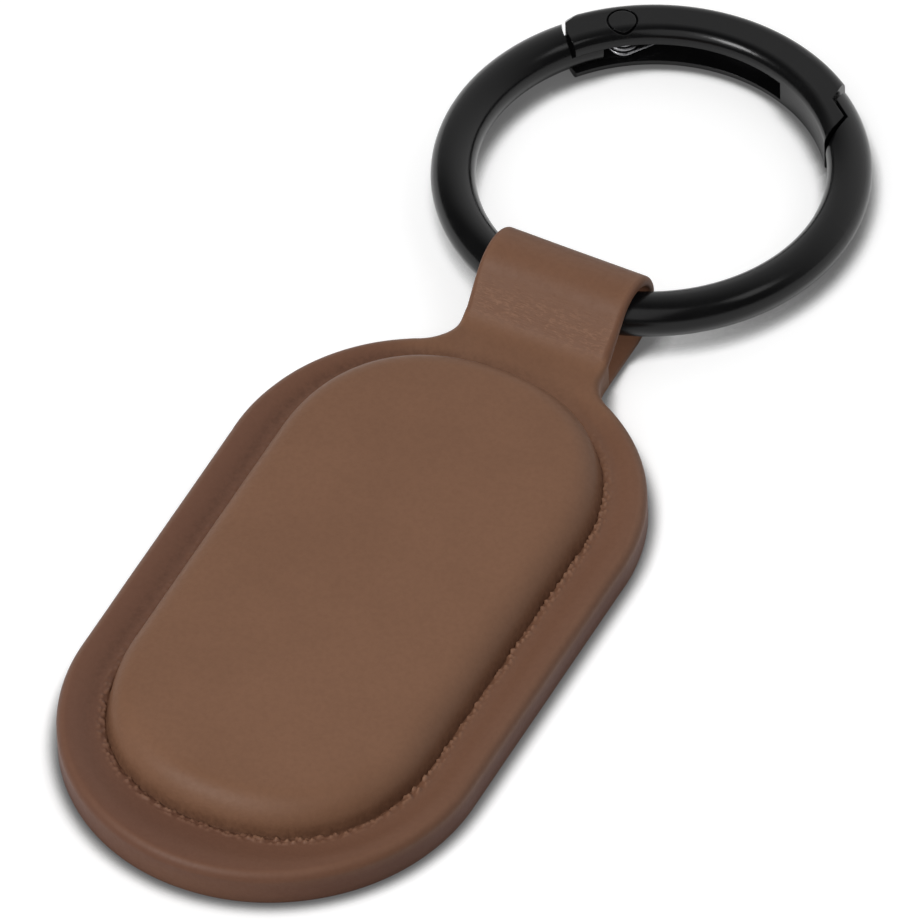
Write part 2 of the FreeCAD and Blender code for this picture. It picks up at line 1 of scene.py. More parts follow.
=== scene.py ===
"""Tracker tag holder: moulded leather, lacquered spring-gate ring and tag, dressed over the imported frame."""

import json
import logging
import math
from dataclasses import dataclass
from enum import Enum
from typing import Any, Iterable, Optional, Sequence, Union

import bmesh
import bpy
import numpy as np
from mathutils import Matrix, Vector


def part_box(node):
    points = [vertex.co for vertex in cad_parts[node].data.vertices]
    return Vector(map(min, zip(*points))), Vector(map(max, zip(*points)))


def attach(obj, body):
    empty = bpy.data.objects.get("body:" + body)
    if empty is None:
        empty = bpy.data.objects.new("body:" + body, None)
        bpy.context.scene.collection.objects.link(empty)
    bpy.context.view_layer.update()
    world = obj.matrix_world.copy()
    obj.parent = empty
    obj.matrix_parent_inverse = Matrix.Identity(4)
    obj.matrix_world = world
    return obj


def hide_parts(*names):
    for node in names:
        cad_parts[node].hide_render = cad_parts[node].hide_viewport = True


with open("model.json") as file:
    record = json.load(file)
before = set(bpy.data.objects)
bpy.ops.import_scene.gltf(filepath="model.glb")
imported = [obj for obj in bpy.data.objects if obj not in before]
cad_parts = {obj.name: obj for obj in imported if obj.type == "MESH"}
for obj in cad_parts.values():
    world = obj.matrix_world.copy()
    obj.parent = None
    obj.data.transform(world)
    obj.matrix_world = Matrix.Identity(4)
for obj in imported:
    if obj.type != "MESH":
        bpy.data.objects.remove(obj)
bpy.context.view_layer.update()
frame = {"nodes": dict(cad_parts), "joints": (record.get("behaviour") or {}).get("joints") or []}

logging.basicConfig(level=logging.INFO, format="%(message)s")
log = logging.getLogger("holder")

MM = 0.001
Colour = tuple[float, float, float]
Pair = tuple[float, float]


def waves(length_mm: float) -> float:
    """Waves per metre of a pattern that repeats in a length of millimetres."""
    return 1 / (length_mm * MM)


class Sock:
    """A node socket that takes part in arithmetic: each operator adds a Math node to its tree."""

    def __init__(self, graph: "Graph", socket: bpy.types.NodeSocket) -> None:
        """Keeps a node's output socket together with its tree."""
        self.graph = graph
        self.socket = socket

    def _math(self, operation: str, first: Any, second: Any = None) -> "Sock":
        """Adds one Math node on one or two values or sockets."""
        values = {0: first} if second is None else {0: first, 1: second}
        return self.graph.node("ShaderNodeMath", {"operation": operation}, values)

    def __add__(self, other: Any) -> "Sock":
        """Sum with a value or socket."""
        return self._math("ADD", self, other)

    def __radd__(self, other: Any) -> "Sock":
        """Sum with a value on the left."""
        return self._math("ADD", other, self)

    def __sub__(self, other: Any) -> "Sock":
        """Difference from a value or socket."""
        return self._math("SUBTRACT", self, other)

    def __rsub__(self, other: Any) -> "Sock":
        """A value less this socket."""
        return self._math("SUBTRACT", other, self)

    def __mul__(self, other: Any) -> "Sock":
        """Product with a value or socket."""
        return self._math("MULTIPLY", self, other)

    def __rmul__(self, other: Any) -> "Sock":
        """Product with a value on the left."""
        return self._math("MULTIPLY", other, self)

    def __truediv__(self, other: Any) -> "Sock":
        """Quotient by a value or socket."""
        return self._math("DIVIDE", self, other)

    def __rtruediv__(self, other: Any) -> "Sock":
        """A value divided by this socket."""
        return self._math("DIVIDE", other, self)

    def __abs__(self) -> "Sock":
        """Size without sign."""
        return self._math("ABSOLUTE", self)

    def span(self, low: float, high: float, to_low: float = 0.0, to_high: float = 1.0) -> "Sock":
        """Maps the range from low to high smoothly onto the one from to_low to to_high."""
        values = {"Value": self, "From Min": low, "From Max": high, "To Min": to_low, "To Max": to_high}
        return self.graph.node("ShaderNodeMapRange", {"interpolation_type": "SMOOTHSTEP"}, values, "Result")


class Graph:
    """A node tree, with one method that adds any node and short ones for those that repeat."""

    def __init__(self, tree: bpy.types.NodeTree) -> None:
        """Starts on a shader or geometry node tree."""
        self.tree = tree

    @classmethod
    def fresh(cls, owner: Union[bpy.types.Material, bpy.types.World]) -> "Graph":
        """Starts on the emptied tree of a material or world.

        Args:
            owner: The material or world.

        Returns:
            Its tree.
        """
        owner.use_nodes = True
        owner.node_tree.nodes.clear()
        return cls(owner.node_tree)

    def node(
        self,
        kind: str,
        settings: Optional[dict[str, Any]] = None,
        values: Optional[dict[Union[str, int], Any]] = None,
        output: Union[str, int] = 0,
    ) -> Sock:
        """Adds a node, sets it up and joins it.

        Args:
            kind: The node's type.
            settings: Its properties, and a colour ramp's stops as "stops".
            values: What its inputs hold or are linked to, by name or index.
            output: The output that is wanted.

        Returns:
            That output.
        """
        made = self.tree.nodes.new(kind)
        for key, value in (settings or {}).items():
            if key == "stops":
                self._stops(made.color_ramp, value)
            else:
                setattr(made, key, value)
        for key, value in (values or {}).items():
            if isinstance(value, Sock):
                self.tree.links.new(value.socket, made.inputs[key])
            else:
                made.inputs[key].default_value = value
        return Sock(self, made.outputs[output]) if len(made.outputs) else Sock(self, made.inputs[0])

    @staticmethod
    def _stops(ramp: bpy.types.ColorRamp, stops: Sequence[tuple[float, Colour]]) -> None:
        """Sets a ramp's stops.

        Args:
            ramp: The ramp.
            stops: Places and colours, in order.
        """
        while len(ramp.elements) < len(stops):
            ramp.elements.new(1.0)
        for element, (place, colour) in zip(ramp.elements, stops):
            element.position = place
            element.color = (*colour, 1.0)

    def vector(self, operation: str, first: Any, second: Any, output: str = "Vector") -> Sock:
        """Adds a Vector Math node on two vectors or sockets; a dot product's output is Value."""
        return self.node("ShaderNodeVectorMath", {"operation": operation}, {0: first, 1: second}, output)

    def scale(self, vector: Any, factor: Any) -> Sock:
        """Scales a vector by a value or socket."""
        values = {0: vector, "Scale": factor}
        return self.node("ShaderNodeVectorMath", {"operation": "SCALE"}, values, "Vector")

    def noise(self, vector: Sock, scale: float = 1.0, detail: float = 2.0, roughness: float = 0.5) -> Sock:
        """Adds a noise texture with so many waves per unit; its value is about 0 to 1."""
        values = {"Vector": vector, "Scale": scale, "Detail": detail, "Roughness": roughness}
        return self.node("ShaderNodeTexNoise", {}, values)

    def streaks(self, vector: Sock, scales: Any, detail: float = 2.0, roughness: float = 0.5) -> Sock:
        """Adds noise with its own waves per unit along each axis."""
        return self.noise(self.vector("MULTIPLY", vector, scales), 1.0, detail, roughness)

    def blend(self, share: Any, first: Any, second: Any) -> Sock:
        """Mixes two colours.

        Args:
            share: Share of the second one.
            first: Colour or socket at 0.
            second: Colour or socket at 1.

        Returns:
            The mixed colour.
        """
        def whole(colour: Any) -> Any:
            """Gives a colour its fourth value."""
            return colour if isinstance(colour, Sock) else (*colour, 1.0)

        values = {0: share, 6: whole(first), 7: whole(second)}
        return self.node("ShaderNodeMix", {"data_type": "RGBA"}, values, 2)


class Finish:
    """Base of the finishes: makes a material and hands its tree to the finish's own nodes."""

    name: str

    def material(self) -> bpy.types.Material:
        """Makes the finish's material once.

        Returns:
            The material.
        """
        known = bpy.data.materials.get(self.name)
        if known:
            return known
        made = bpy.data.materials.new(self.name)
        graph = Graph.fresh(made)
        place = graph.node("ShaderNodeTexCoord", output="Object")
        graph.node("ShaderNodeOutputMaterial", {}, {"Surface": self.surface(graph, place)})
        return made

    def surface(self, graph: Graph, place: Sock) -> Sock:
        """Adds the finish's own nodes, read at object coordinates in metres, and gives the shader."""
        raise NotImplementedError

    @staticmethod
    def shader(graph: Graph, **sockets: Any) -> Sock:
        """Adds the main shader, with values or sockets by input name and _ for a space."""
        values = {key.replace("_", " "): value for key, value in sockets.items()}
        return graph.node("ShaderNodeBsdfPrincipled", {}, values, "BSDF")

    @staticmethod
    def bump(graph: Graph, height: Sock, depth_mm: float, strength: float = 1.0, **under: Sock) -> Sock:
        """Adds a bump of a relief from 0 to 1, over another normal if Normal is given."""
        values = {"Height": height, "Distance": depth_mm * MM, "Strength": strength, **under}
        return graph.node("ShaderNodeBump", {}, values, "Normal")


@dataclass(frozen=True)
class LeatherFinish(Finish):
    """Smooth coated leather: fine pores, soft random colour changes, painted shade on the border, its sides
    and the crease, paler edges of wear and painted highlight, and flex lines.
    """

    name: str
    face: Colour
    shade: Colour
    # This colour darkens the crease as painted shade, and also the random dark specks.
    deep: Colour
    # This pale colour marks wear, the rim's painted highlight, the nubs and the flex lines.
    worn: Colour
    # This colour is the painted shade of the border, its side wall and the strap.
    dyed: Colour
    roughness: float = 0.5
    cloud_roughness: float = 0.04
    speck_roughness: float = 0.05
    sheen: float = 0.2
    cloud_mm: float = 11.0
    speck_mm: float = 0.5
    pore_mm: float = 0.34
    pore_depth_mm: float = 0.02
    pore_share: float = 0.55
    flex_mm: float = 0.22
    flex_length_mm: float = 1.6
    flex_depth_mm: float = 0.03
    flex_depth_share: float = 0.2
    flex_share: float = 0.55
    dye_shares: Pair = (0.5, 0.64)
    crease_shares: Pair = (0.2, 0.6)
    edge_shares: Pair = (0.05, 0.16)
    nub_shares: Pair = (0.45, 0.85)
    speck_shares: Pair = (0.0, 0.11)

    def surface(self, graph: Graph, place: Sock) -> Sock:
        """Adds the leather's nodes.

        Args:
            graph: The material's tree.
            place: Object coordinates, in metres.

        Returns:
            The shader.
        """
        keys = ("crease", "edge", "flex", "tone", "nub")
        crease, edge, flex, tone, nub = (
            graph.node("ShaderNodeAttribute", {"attribute_name": key}, output="Fac") for key in keys)
        cloud = graph.noise(place, waves(self.cloud_mm), 4.0, 0.55)
        speck = graph.noise(place, waves(self.speck_mm), 3.0, 0.6)
        pores = graph.node(
            "ShaderNodeTexVoronoi", {"feature": "SMOOTH_F1"},
            {"Vector": place, "Scale": waves(self.pore_mm), "Smoothness": 0.6}, "Distance")
        along, across = waves(self.flex_mm), waves(self.flex_length_mm)
        lines = graph.streaks(place, (across, along, along), 3.0, 0.55)
        ridge = abs(lines * 2.0 - 1.0).span(0.0, 0.16)
        layers = (
            # painted shade: this layer darkens the border, its side wall and the strap where shade falls
            (tone * cloud.span(0.2, 0.8, *self.dye_shares), self.dyed),
            # painted shade: the crease and the band beside it are darkened toward the deep brown
            (crease * speck.span(0.25, 0.75, *self.crease_shares), self.deep),
            # paler edges: partly wear and partly a painted highlight along the rim's top edge
            (edge * cloud.span(0.2, 0.8, *self.edge_shares), self.worn),
            (nub * speck.span(0.3, 0.7, *self.nub_shares), self.worn),
            (flex * (1.0 - ridge) * speck.span(0.38, 0.6) * self.flex_share, self.worn),
            (speck.span(0.3, 0.75, *self.speck_shares), self.deep),
        )
        colour = graph.blend(cloud.span(0.3, 0.7), self.shade, self.face)
        for share, over in layers:
            colour = graph.blend(share, colour, over)
        height = pores * self.pore_share + speck * (1 - self.pore_share)
        normal = self.bump(graph, height, self.pore_depth_mm)
        normal = self.bump(graph, ridge * flex, self.flex_depth_mm, self.flex_depth_share, Normal=normal)
        less, more = self.roughness - self.cloud_roughness, self.roughness + self.cloud_roughness
        rough = cloud.span(0.25, 0.75, less, more) + speck.span(0.3, 0.8, 0.0, self.speck_roughness)
        return self.shader(
            graph, Base_Color=colour, Roughness=rough, Specular_IOR_Level=self.sheen, Normal=normal)


@dataclass(frozen=True)
class LacquerFinish(Finish):
    """Black lacquer on metal: deep gloss, faint orange peel, rounded edge light and a few rubbed places."""

    name: str
    face: Colour
    rubbed: Colour
    roughness: float = 0.2
    sheen: float = 0.26
    edge_mm: float = 0.1
    haze_mm: float = 6.0
    dust_mm: float = 0.22
    peel_mm: float = 0.9
    peel_depth_mm: float = 0.0012

    def surface(self, graph: Graph, place: Sock) -> Sock:
        """Adds the lacquer's nodes.

        Args:
            graph: The material's tree.
            place: Object coordinates, in metres.

        Returns:
            The shader.
        """
        haze = graph.noise(place, waves(self.haze_mm), 4.0, 0.6)
        dust = graph.noise(place, waves(self.dust_mm))
        peel = graph.noise(place, waves(self.peel_mm))
        colour = graph.blend(haze.span(0.35, 0.75) * dust.span(0.3, 0.8), self.face, self.rubbed)
        rough = haze.span(0.3, 0.75, self.roughness - 0.03, self.roughness + 0.05)
        rough = rough + dust.span(0.4, 0.8, 0.0, 0.03)
        rounded = graph.node("ShaderNodeBevel", {"samples": 6}, {"Radius": self.edge_mm * MM}, "Normal")
        normal = self.bump(graph, peel, self.peel_depth_mm, Normal=rounded)
        return self.shader(
            graph, Base_Color=colour, Roughness=rough, Specular_IOR_Level=self.sheen, Normal=normal)


@dataclass(frozen=True)
class MouldedFinish(Finish):
    """Moulded plastic, rubber or foam: spark-eroded texture and slight tone changes."""

    name: str
    face: Colour
    shade: Colour
    roughness: float = 0.55
    grain_mm: float = 0.18
    grain_depth_mm: float = 0.012
    cloud_mm: float = 7.0

    def surface(self, graph: Graph, place: Sock) -> Sock:
        """Adds the moulding's nodes.

        Args:
            graph: The material's tree.
            place: Object coordinates, in metres.

        Returns:
            The shader.
        """
        cloud = graph.noise(place, waves(self.cloud_mm), 3.0)
        grain = graph.noise(place, waves(self.grain_mm), 3.0, 0.65)
        colour = graph.blend(cloud.span(0.3, 0.7) * grain.span(0.2, 0.8, 0.5, 1.0), self.shade, self.face)
        rough = grain.span(0.3, 0.7, self.roughness - 0.06, self.roughness + 0.06)
        normal = self.bump(graph, grain, self.grain_depth_mm)
        return self.shader(graph, Base_Color=colour, Roughness=rough, Normal=normal)


@dataclass(frozen=True)
class MetalFinish(Finish):
    """Rolled or drawn metal: fine lines along one way, with slight tarnish."""

    name: str
    face: Colour
    tarnish: Colour
    roughness: float = 0.3
    line_mm: Pair = (0.05, 4.0)
    line_depth_mm: float = 0.004
    stain_mm: float = 3.0

    def surface(self, graph: Graph, place: Sock) -> Sock:
        """Adds the metal's nodes.

        Args:
            graph: The material's tree.
            place: Object coordinates, in metres.

        Returns:
            The shader.
        """
        fine, long = (waves(length) for length in self.line_mm)
        lines = graph.streaks(place, (fine, long, fine))
        stain = graph.noise(place, waves(self.stain_mm), 4.0, 0.6)
        colour = graph.blend(stain.span(0.4, 0.75), self.face, self.tarnish)
        rough = lines.span(0.3, 0.7, self.roughness - 0.08, self.roughness + 0.08)
        rough = rough + stain.span(0.5, 0.8, 0.0, 0.1)
        normal = self.bump(graph, lines, self.line_depth_mm)
        return self.shader(graph, Base_Color=colour, Roughness=rough, Metallic=1.0, Normal=normal)


@dataclass(frozen=True)
class BoardFinish(Finish):
    """Pressed board or circuit laminate: fibres, specks and a dull face."""

    name: str
    face: Colour
    fibre: Colour
    roughness: float = 0.75
    fibre_mm: Pair = (0.2, 1.6)
    fibre_depth_mm: float = 0.02

    def surface(self, graph: Graph, place: Sock) -> Sock:
        """Adds the board's nodes.

        Args:
            graph: The material's tree.
            place: Object coordinates, in metres.

        Returns:
            The shader.
        """
        thin, long = (waves(length) for length in self.fibre_mm)
        weft = graph.streaks(place, (thin, long, thin), 3.0, 0.6)
        warp = graph.streaks(place, (long, thin, thin), 3.0, 0.6)
        fibres = weft * 0.5 + warp * 0.5
        colour = graph.blend(fibres.span(0.4, 0.65), self.face, self.fibre)
        rough = fibres.span(0.3, 0.7, self.roughness - 0.06, self.roughness + 0.06)
        normal = self.bump(graph, fibres, self.fibre_depth_mm)
        return self.shader(graph, Base_Color=colour, Roughness=rough, Normal=normal)


class Part(Enum):
    """What a station of the holder's outline borders on."""

    EDGE = "edge"
    MOUTH = "mouth"


@dataclass(frozen=True)
class Station:
    """One place round the holder: its spine point, its way out, and its place on the outline."""

    part: Part
    spine: Pair
    outward: Pair
    rim: Pair
    rim_out: Pair
    share: float = 0.0

    def at(self, reach: float) -> Pair:
        """Point at a distance from the spine, seen from above."""
        return self.spine[0] + self.outward[0] * reach, self.spine[1] + self.outward[1] * reach


@dataclass(frozen=True)
class HolderSizes:
    """Sizes of the leather holder, in millimetres; most of them are the solids' own."""

    half_width: float = 19.7
    spine_half: float = 14.3
    pod_spine: float = 14.1
    pod_offset: float = 0.85
    tag_spine: float = 14.3
    crease_half: float = 15.3
    leather: float = 0.9
    flange_top: float = 3.2
    pod_top: float = 6.77
    pod_crown: float = 0.2
    pod_shoulder: float = 3.1
    pod_firm: float = 2.2
    pod_lean: float = math.radians(12.0)
    corner_fill: float = 0.5
    end_flat: float = 0.22
    rim_round: float = 0.7
    rim_soft: float = 0.87
    rim_lift: float = 0.55
    far_full: float = 0.25
    rim_press: float = 0.03
    foot_round: float = 0.45
    strap_half: float = 7.3
    neck_round: float = 4.2
    strap_round: float = 0.5
    strap_chamfer: float = 0.12
    window_half: float = 12.1
    back_inset: float = 0.95
    bend_round: float = 3.2
    climb: float = math.radians(46.0)
    neck_run: float = 0.7
    seam: float = 0.05
    flange_start: float = 16.5
    swell: float = 0.07
    foam_half: float = 11.1
    foam_low: float = 5.04
    foam_high: float = 5.6
    foam_crown: float = 0.03
    wall_foot: float = 0.7
    crease_line: tuple[Pair, ...] = ((-0.03, 0.2), (0.07, -0.11), (0.2, -0.02))
    swell_out: float = 0.5
    swell_rise: float = 0.01
    swell_run: float = 0.6
    soft_way: Pair = (0.5, -0.866)
    rim_fade: float = 4.0
    rim_power_share: float = 0.15
    press_share: float = 0.8
    press_width_share: float = 0.14
    strap_ease: float = 3.0
    back_round: float = 0.22
    back_gap: float = 0.04

    @property
    def edge_top(self) -> float:
        """Height of the pod's top at its edge, without the crown."""
        return self.pod_top - self.pod_crown


@dataclass(frozen=True)
class Sides:
    """Strengths of painted shade for the four sides of the pod, seen from above with the ring at the far end.
    """

    right: float = 0.0
    left: float = 0.0
    far: float = 0.0
    near: float = 0.0

    def at(self, way: Pair) -> float:
        """Strength for a way out from the pod."""
        across = self.right * max(0.0, way[0]) + self.left * max(0.0, -way[0])
        return across + self.far * max(0.0, way[1]) + self.near * max(0.0, -way[1])


@dataclass(frozen=True)
class MarkSizes:
    """What the leather's finish reads: millimetres from the line that each mark follows, and strengths."""

    lining_drop: float = 0.5
    # Where the crease is, which sways it and darkens it as painted shade, and the band of painted shade beside
    # it.
    crease_out: float = 0.04
    crease_inner: float = 0.24
    crease_outer: float = 0.17
    band_out: float = 1.4
    band_width: float = 0.55
    band_way: Pair = (-0.8, 0.6)
    band_share: float = 0.95
    bead_start: Pair = (0.02, 0.2)
    bead_end: Pair = (0.5, 1.1)
    border_start: Pair = (-0.2, 0.4)
    neck_start: Pair = (-8.0, -4.0)
    neck_half: Pair = (9.0, 14.0)
    side_drop: Pair = (-1.2, -0.3)
    # Painted shade on the border and its side wall, with strengths by the way each faces.
    border_tone: float = 1.2
    border_sides: Sides = Sides(right=-0.5, far=-0.35, near=0.1)
    side_sides: Sides = Sides(right=1.1, left=1.1, near=-0.4)
    flex_start: Pair = (-0.2, 1.4)
    flex_end: Pair = (-4.4, -2.2)
    flex_height: Pair = (2.4, 3.4)
    # Spread of the rim's paler line, which is partly wear and partly painted highlight.
    rim_wear: float = 1.6
    strap_wear: float = 0.6
    strap_edge_shares: Pair = (0.9, 1.0)
    strap_edge: float = 0.7
    strap_foot: float = 0.3
    # Painted shade on the strap: a little on its face, more on its sides and underside.
    strap_tone: float = 0.3
    strap_side_tone: float = 0.7
    back_wear: float = 0.6


@dataclass(frozen=True)
class LoopPlace:
    """Place of the strap loop about the ring's swing axis, in millimetres in the shared frame."""

    y: float
    z: float
    radius: float


class LeatherHolder:
    """The soft goods: front leather with pod, neck and strap loop, back leather, and the pod's foam."""

    TOP_STEPS = {"crown": 8, "shoulder": 10, "wall": 4, "crease": 24, "flange": 8}
    RIM_STEPS = 7
    SIDE_STEPS = 3
    FOOT_STEPS = 3
    MOUTH_STEPS = 48
    FILLET_STEPS = 24
    RUN_STEPS = 3
    ARC_STEPS = 100
    STRAIGHT_STEPS = 156
    END_STEPS = 300
    UNDER_STEPS = 2
    LINING_POINTS = 4
    BACK_EDGE_POINTS = 5
    BACK_POINTS = 14
    FOAM_EDGE_POINTS = 7
    FOAM_CROWN_SHARES = (0.3, 0.6, 0.85)
    FOAM_STRIDE = 4
    SECTION_MM = 0.3
    FLEX_SECTION_MM = 0.14

    def __init__(
        self,
        sizes: HolderSizes,
        marks: MarkSizes,
        front: LeatherFinish,
        back: LeatherFinish,
        foam: MouldedFinish,
    ) -> None:
        """Reads the places that the frame fixes.

        Args:
            sizes: The holder's sizes.
            marks: What its finish reads.
            front: Finish of the front leather.
            back: Finish of the back leather.
            foam: Finish of the foam.
        """
        self.sizes = sizes
        self.marks = marks
        self.front_finish = front
        self.back_finish = back
        self.foam_finish = foam
        low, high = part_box("front_cover")
        swing = next(joint for joint in frame["joints"] if joint["name"] == "ring_swing")
        axis_y, axis_z = swing["pos_m"][1] / MM, swing["pos_m"][2] / MM
        self.loop = LoopPlace(axis_y, axis_z, high.z / MM - axis_z)
        self.centre_y = low.y / MM + sizes.spine_half + sizes.half_width
        self.far_spine = self.centre_y + sizes.spine_half
        self.near_spine = self.centre_y - sizes.spine_half
        self.pod_y = self.centre_y + sizes.pod_offset
        reach = sizes.half_width + sizes.neck_round
        self.fillet_x = sizes.strap_half + sizes.neck_round
        self.neck_y = self.far_spine + math.sqrt(reach ** 2 - self.fillet_x ** 2)
        self.cut_y = self.neck_y + sizes.neck_run
        drop = sizes.flange_top + sizes.bend_round - self.loop.z
        run = (sizes.bend_round + self.loop.radius - drop * math.cos(sizes.climb)) / math.sin(sizes.climb)
        self.bend_y = self.loop.y - run
        self.stations = self._stations()

    def _stations(self) -> list[Station]:
        """Places all round the holder, from the right corner of the strap's mouth clockwise and back to it.

        Returns:
            The stations in order; the mouth's own stations come last.
        """
        s = self.sizes
        touch = math.atan2(self.neck_y - self.far_spine, self.fillet_x)
        mouth_length = 2 * (s.strap_half - s.rim_round)
        fillet_length = (s.neck_round + s.rim_round) * touch
        whole = mouth_length + 2 * (fillet_length + s.neck_run)
        sector = math.pi - 2 * touch
        corner = math.pi / 2 - sector * mouth_length / whole / 2
        run_end = corner - sector * s.neck_run / whole
        far, near = (0.0, self.pod_y + s.pod_spine), (0.0, self.pod_y - s.pod_spine)

        def ray(angle: float) -> Pair:
            """Unit vector at an angle from +X."""
            return math.cos(angle), math.sin(angle)

        def edge(angle: float, rim: Pair, out: Pair, spine: Pair) -> Station:
            """Station on the holder's edge."""
            return Station(Part.EDGE, spine, ray(angle), rim, out)

        right: list[Station] = []
        for t in shares(self.RUN_STEPS):
            rim = (s.strap_half, self.cut_y - s.neck_run * t)
            right.append(edge(corner + (run_end - corner) * t, rim, (1.0, 0.0), far))
        for t in shares(self.FILLET_STEPS):
            out = ray(touch * t)
            rim = (self.fillet_x - s.neck_round * out[0], self.neck_y - s.neck_round * out[1])
            right.append(edge(run_end + (touch - run_end) * t, rim, out, far))
        for t in shares(self.ARC_STEPS):
            out = ray(touch * (1 - t))
            half = s.half_width + s.far_full * math.sin(math.pi * t)
            rim = (half * out[0], self.far_spine + half * out[1])
            right.append(edge(touch * (1 - t), rim, out, far))
        for t in shares(self.STRAIGHT_STEPS):
            rim = (s.half_width, self.far_spine - 2 * s.spine_half * t)
            right.append(edge(0.0, rim, (1.0, 0.0), (0.0, far[1] - 2 * s.pod_spine * t)))
        around: list[Station] = list(right)
        for t in shares(self.END_STEPS):
            out = ray(-math.pi * t)
            rim = (s.half_width * out[0], self.near_spine + s.half_width * out[1])
            around.append(edge(-math.pi * t, rim, out, near))

        def mirrored(one: Station) -> Station:
            """The same station on the left."""
            def flip(pair: Pair) -> Pair:
                """Mirror of a pair."""
                return -pair[0], pair[1]

            return Station(one.part, one.spine, flip(one.outward), flip(one.rim), flip(one.rim_out))

        left_start = edge(0.0, (s.half_width, self.near_spine), (1.0, 0.0), near)
        around += [mirrored(one) for one in [left_start, *reversed(right)]]
        for t in np.linspace(-1, 1, self.MOUTH_STEPS + 1)[1:-1]:
            angle = math.pi / 2 - float(t) * (math.pi / 2 - corner)
            around.append(Station(Part.MOUTH, far, ray(angle), (0.0, self.cut_y), (0.0, 0.0), float(t)))
        return around

    def pod_scale(self, station: Station) -> float:
        """How much fuller the pod is than a plain capsule: corners fuller, ends flatter.

        Args:
            station: The place round the holder.

        Returns:
            A factor on distances from the spine.
        """
        s = self.sizes
        across, along = station.outward
        more = s.corner_fill * (2 * across * along) ** 2 - s.end_flat * along ** 4
        return 1 + more / s.crease_half

    def rim_soft(self, station: Station) -> float:
        """Share of the full soft rim; none at the strap's mouth.

        Args:
            station: The place round the holder.

        Returns:
            From 0 to 1.
        """
        if station.part is Part.MOUTH:
            return 0.0
        return 1 - smooth_step(self.neck_y - self.sizes.rim_fade, self.cut_y, station.rim[1])

    def tag_point(self, station: Station, reach: float) -> Pair:
        """Point at a distance from the tag's own spine.

        Args:
            station: The place round the holder.
            reach: Distance from the spine.

        Returns:
            The point, seen from above.
        """
        s = self.sizes
        y = self.pod_y + (station.spine[1] - self.pod_y) * s.tag_spine / s.pod_spine
        return station.outward[0] * reach, y + station.outward[1] * reach

    def rim_point(self, station: Station, inset: float) -> Pair:
        """Point of the outline, moved in.

        Args:
            station: The place round the holder.
            inset: How far in.

        Returns:
            The point, seen from above.
        """
        if station.part is Part.MOUTH:
            return station.share * (self.sizes.strap_half - inset), self.cut_y
        return station.rim[0] - station.rim_out[0] * inset, station.rim[1] - station.rim_out[1] * inset

    def rise(self, y: float, thickness: float = 0.0) -> float:
        """How far the neck has climbed above the flange.

        Args:
            y: Place along the holder.
            thickness: Depth under the face, for the underside.

        Returns:
            The climb at that place.
        """
        s = self.sizes
        radius = s.bend_round + thickness
        along = y - self.bend_y
        if along <= 0:
            return 0.0
        if along < radius * math.sin(s.climb):
            return radius - math.sqrt(radius ** 2 - along ** 2)
        past = along - radius * math.sin(s.climb)
        return radius * (1 - math.cos(s.climb)) + past * math.tan(s.climb)

    def top_end(self, shoulder: float) -> float:
        """Distance from the spine at which the pod's top turns into its shoulder.

        Args:
            shoulder: Radius of the shoulder.

        Returns:
            The distance.
        """
        s = self.sizes
        reach = shoulder * math.tan((math.pi / 2 - s.pod_lean) / 2)
        return s.crease_half - (s.edge_top - s.flange_top) * math.tan(s.pod_lean) - reach

    def top_profile(self, shoulder: float) -> list[Pair]:
        """Section of the face from the spine to the start of the flat border.

        Args:
            shoulder: Radius of the pod's shoulder there.

        Returns:
            Distances from the spine and heights.
        """
        s = self.sizes
        steps = self.TOP_STEPS
        centre = (self.top_end(shoulder), s.edge_top - shoulder)

        def turned(angle: float) -> Pair:
            """Point of the shoulder's arc."""
            return centre[0] + shoulder * math.cos(angle), centre[1] + shoulder * math.sin(angle)

        crown = [(centre[0] * t, s.edge_top + s.pod_crown * (1 - t * t)) for t in shares(steps["crown"])]
        sweep = math.pi / 2 - s.pod_lean
        arc = [turned(math.pi / 2 - sweep * t) for t in shares(steps["shoulder"])]
        wall = turned(s.pod_lean)
        foot = (s.crease_half - s.wall_foot * math.tan(s.pod_lean), s.flange_top + s.wall_foot)
        side = [between(wall, foot, t) for t in shares(steps["wall"])]
        knots = [wall, foot]
        knots += [(s.crease_half + out, s.flange_top + up) for out, up in s.crease_line]
        knots += [
            (s.crease_half + s.swell_out, s.flange_top + s.swell),
            (s.flange_start, s.flange_top + s.swell + s.swell_rise),
            (s.flange_start + s.swell_run, s.flange_top + s.swell)]
        return crown + arc + side + smooth_run(knots, 1, len(knots) - 2, steps["crease"])

    def front_mesh(self) -> bpy.types.Object:
        """Front leather as one closed skin: face, rim, foot, lining and strap loop.

        Returns:
            The object, not yet dressed.
        """
        skin = Skin()
        self._body_skin(skin)
        self._strap_skin(skin)
        return skin.object("leather_front")

    def _body_skin(self, skin: "Skin") -> None:
        """Adds the face, rim, foot and lining of the flange and pod.

        Args:
            skin: The skin that is being made.
        """
        s = self.sizes
        firm, full = self.top_profile(s.pod_firm), self.top_profile(s.pod_shoulder)
        under = s.flange_top - s.leather
        deep = self.cut_depth()
        inner_wall = s.crease_half - s.leather / math.cos(s.pod_lean) + s.leather * math.tan(s.pod_lean)
        grid: list[list[int]] = []
        mouth_rows: set[int] = set()
        for station in self.stations:
            column: list[int] = []
            spine, way = station.spine, station.outward
            scale, soft = self.pod_scale(station), self.rim_soft(station)
            seat = station.at(s.crease_half * scale)
            rim = s.rim_round + (s.rim_soft - s.rim_round) * soft
            lift = s.rim_lift * soft

            def put(x: float, y: float, z: float, edge: float = 0.0) -> None:
                """Adds a point to this station's column."""
                reach = ((x - spine[0]) * way[0] + (y - spine[1]) * way[1]) / scale
                column.append(skin.point(x, y, z, seat, way, edge=edge, **self.marks_at(x, y, z, reach, way)))

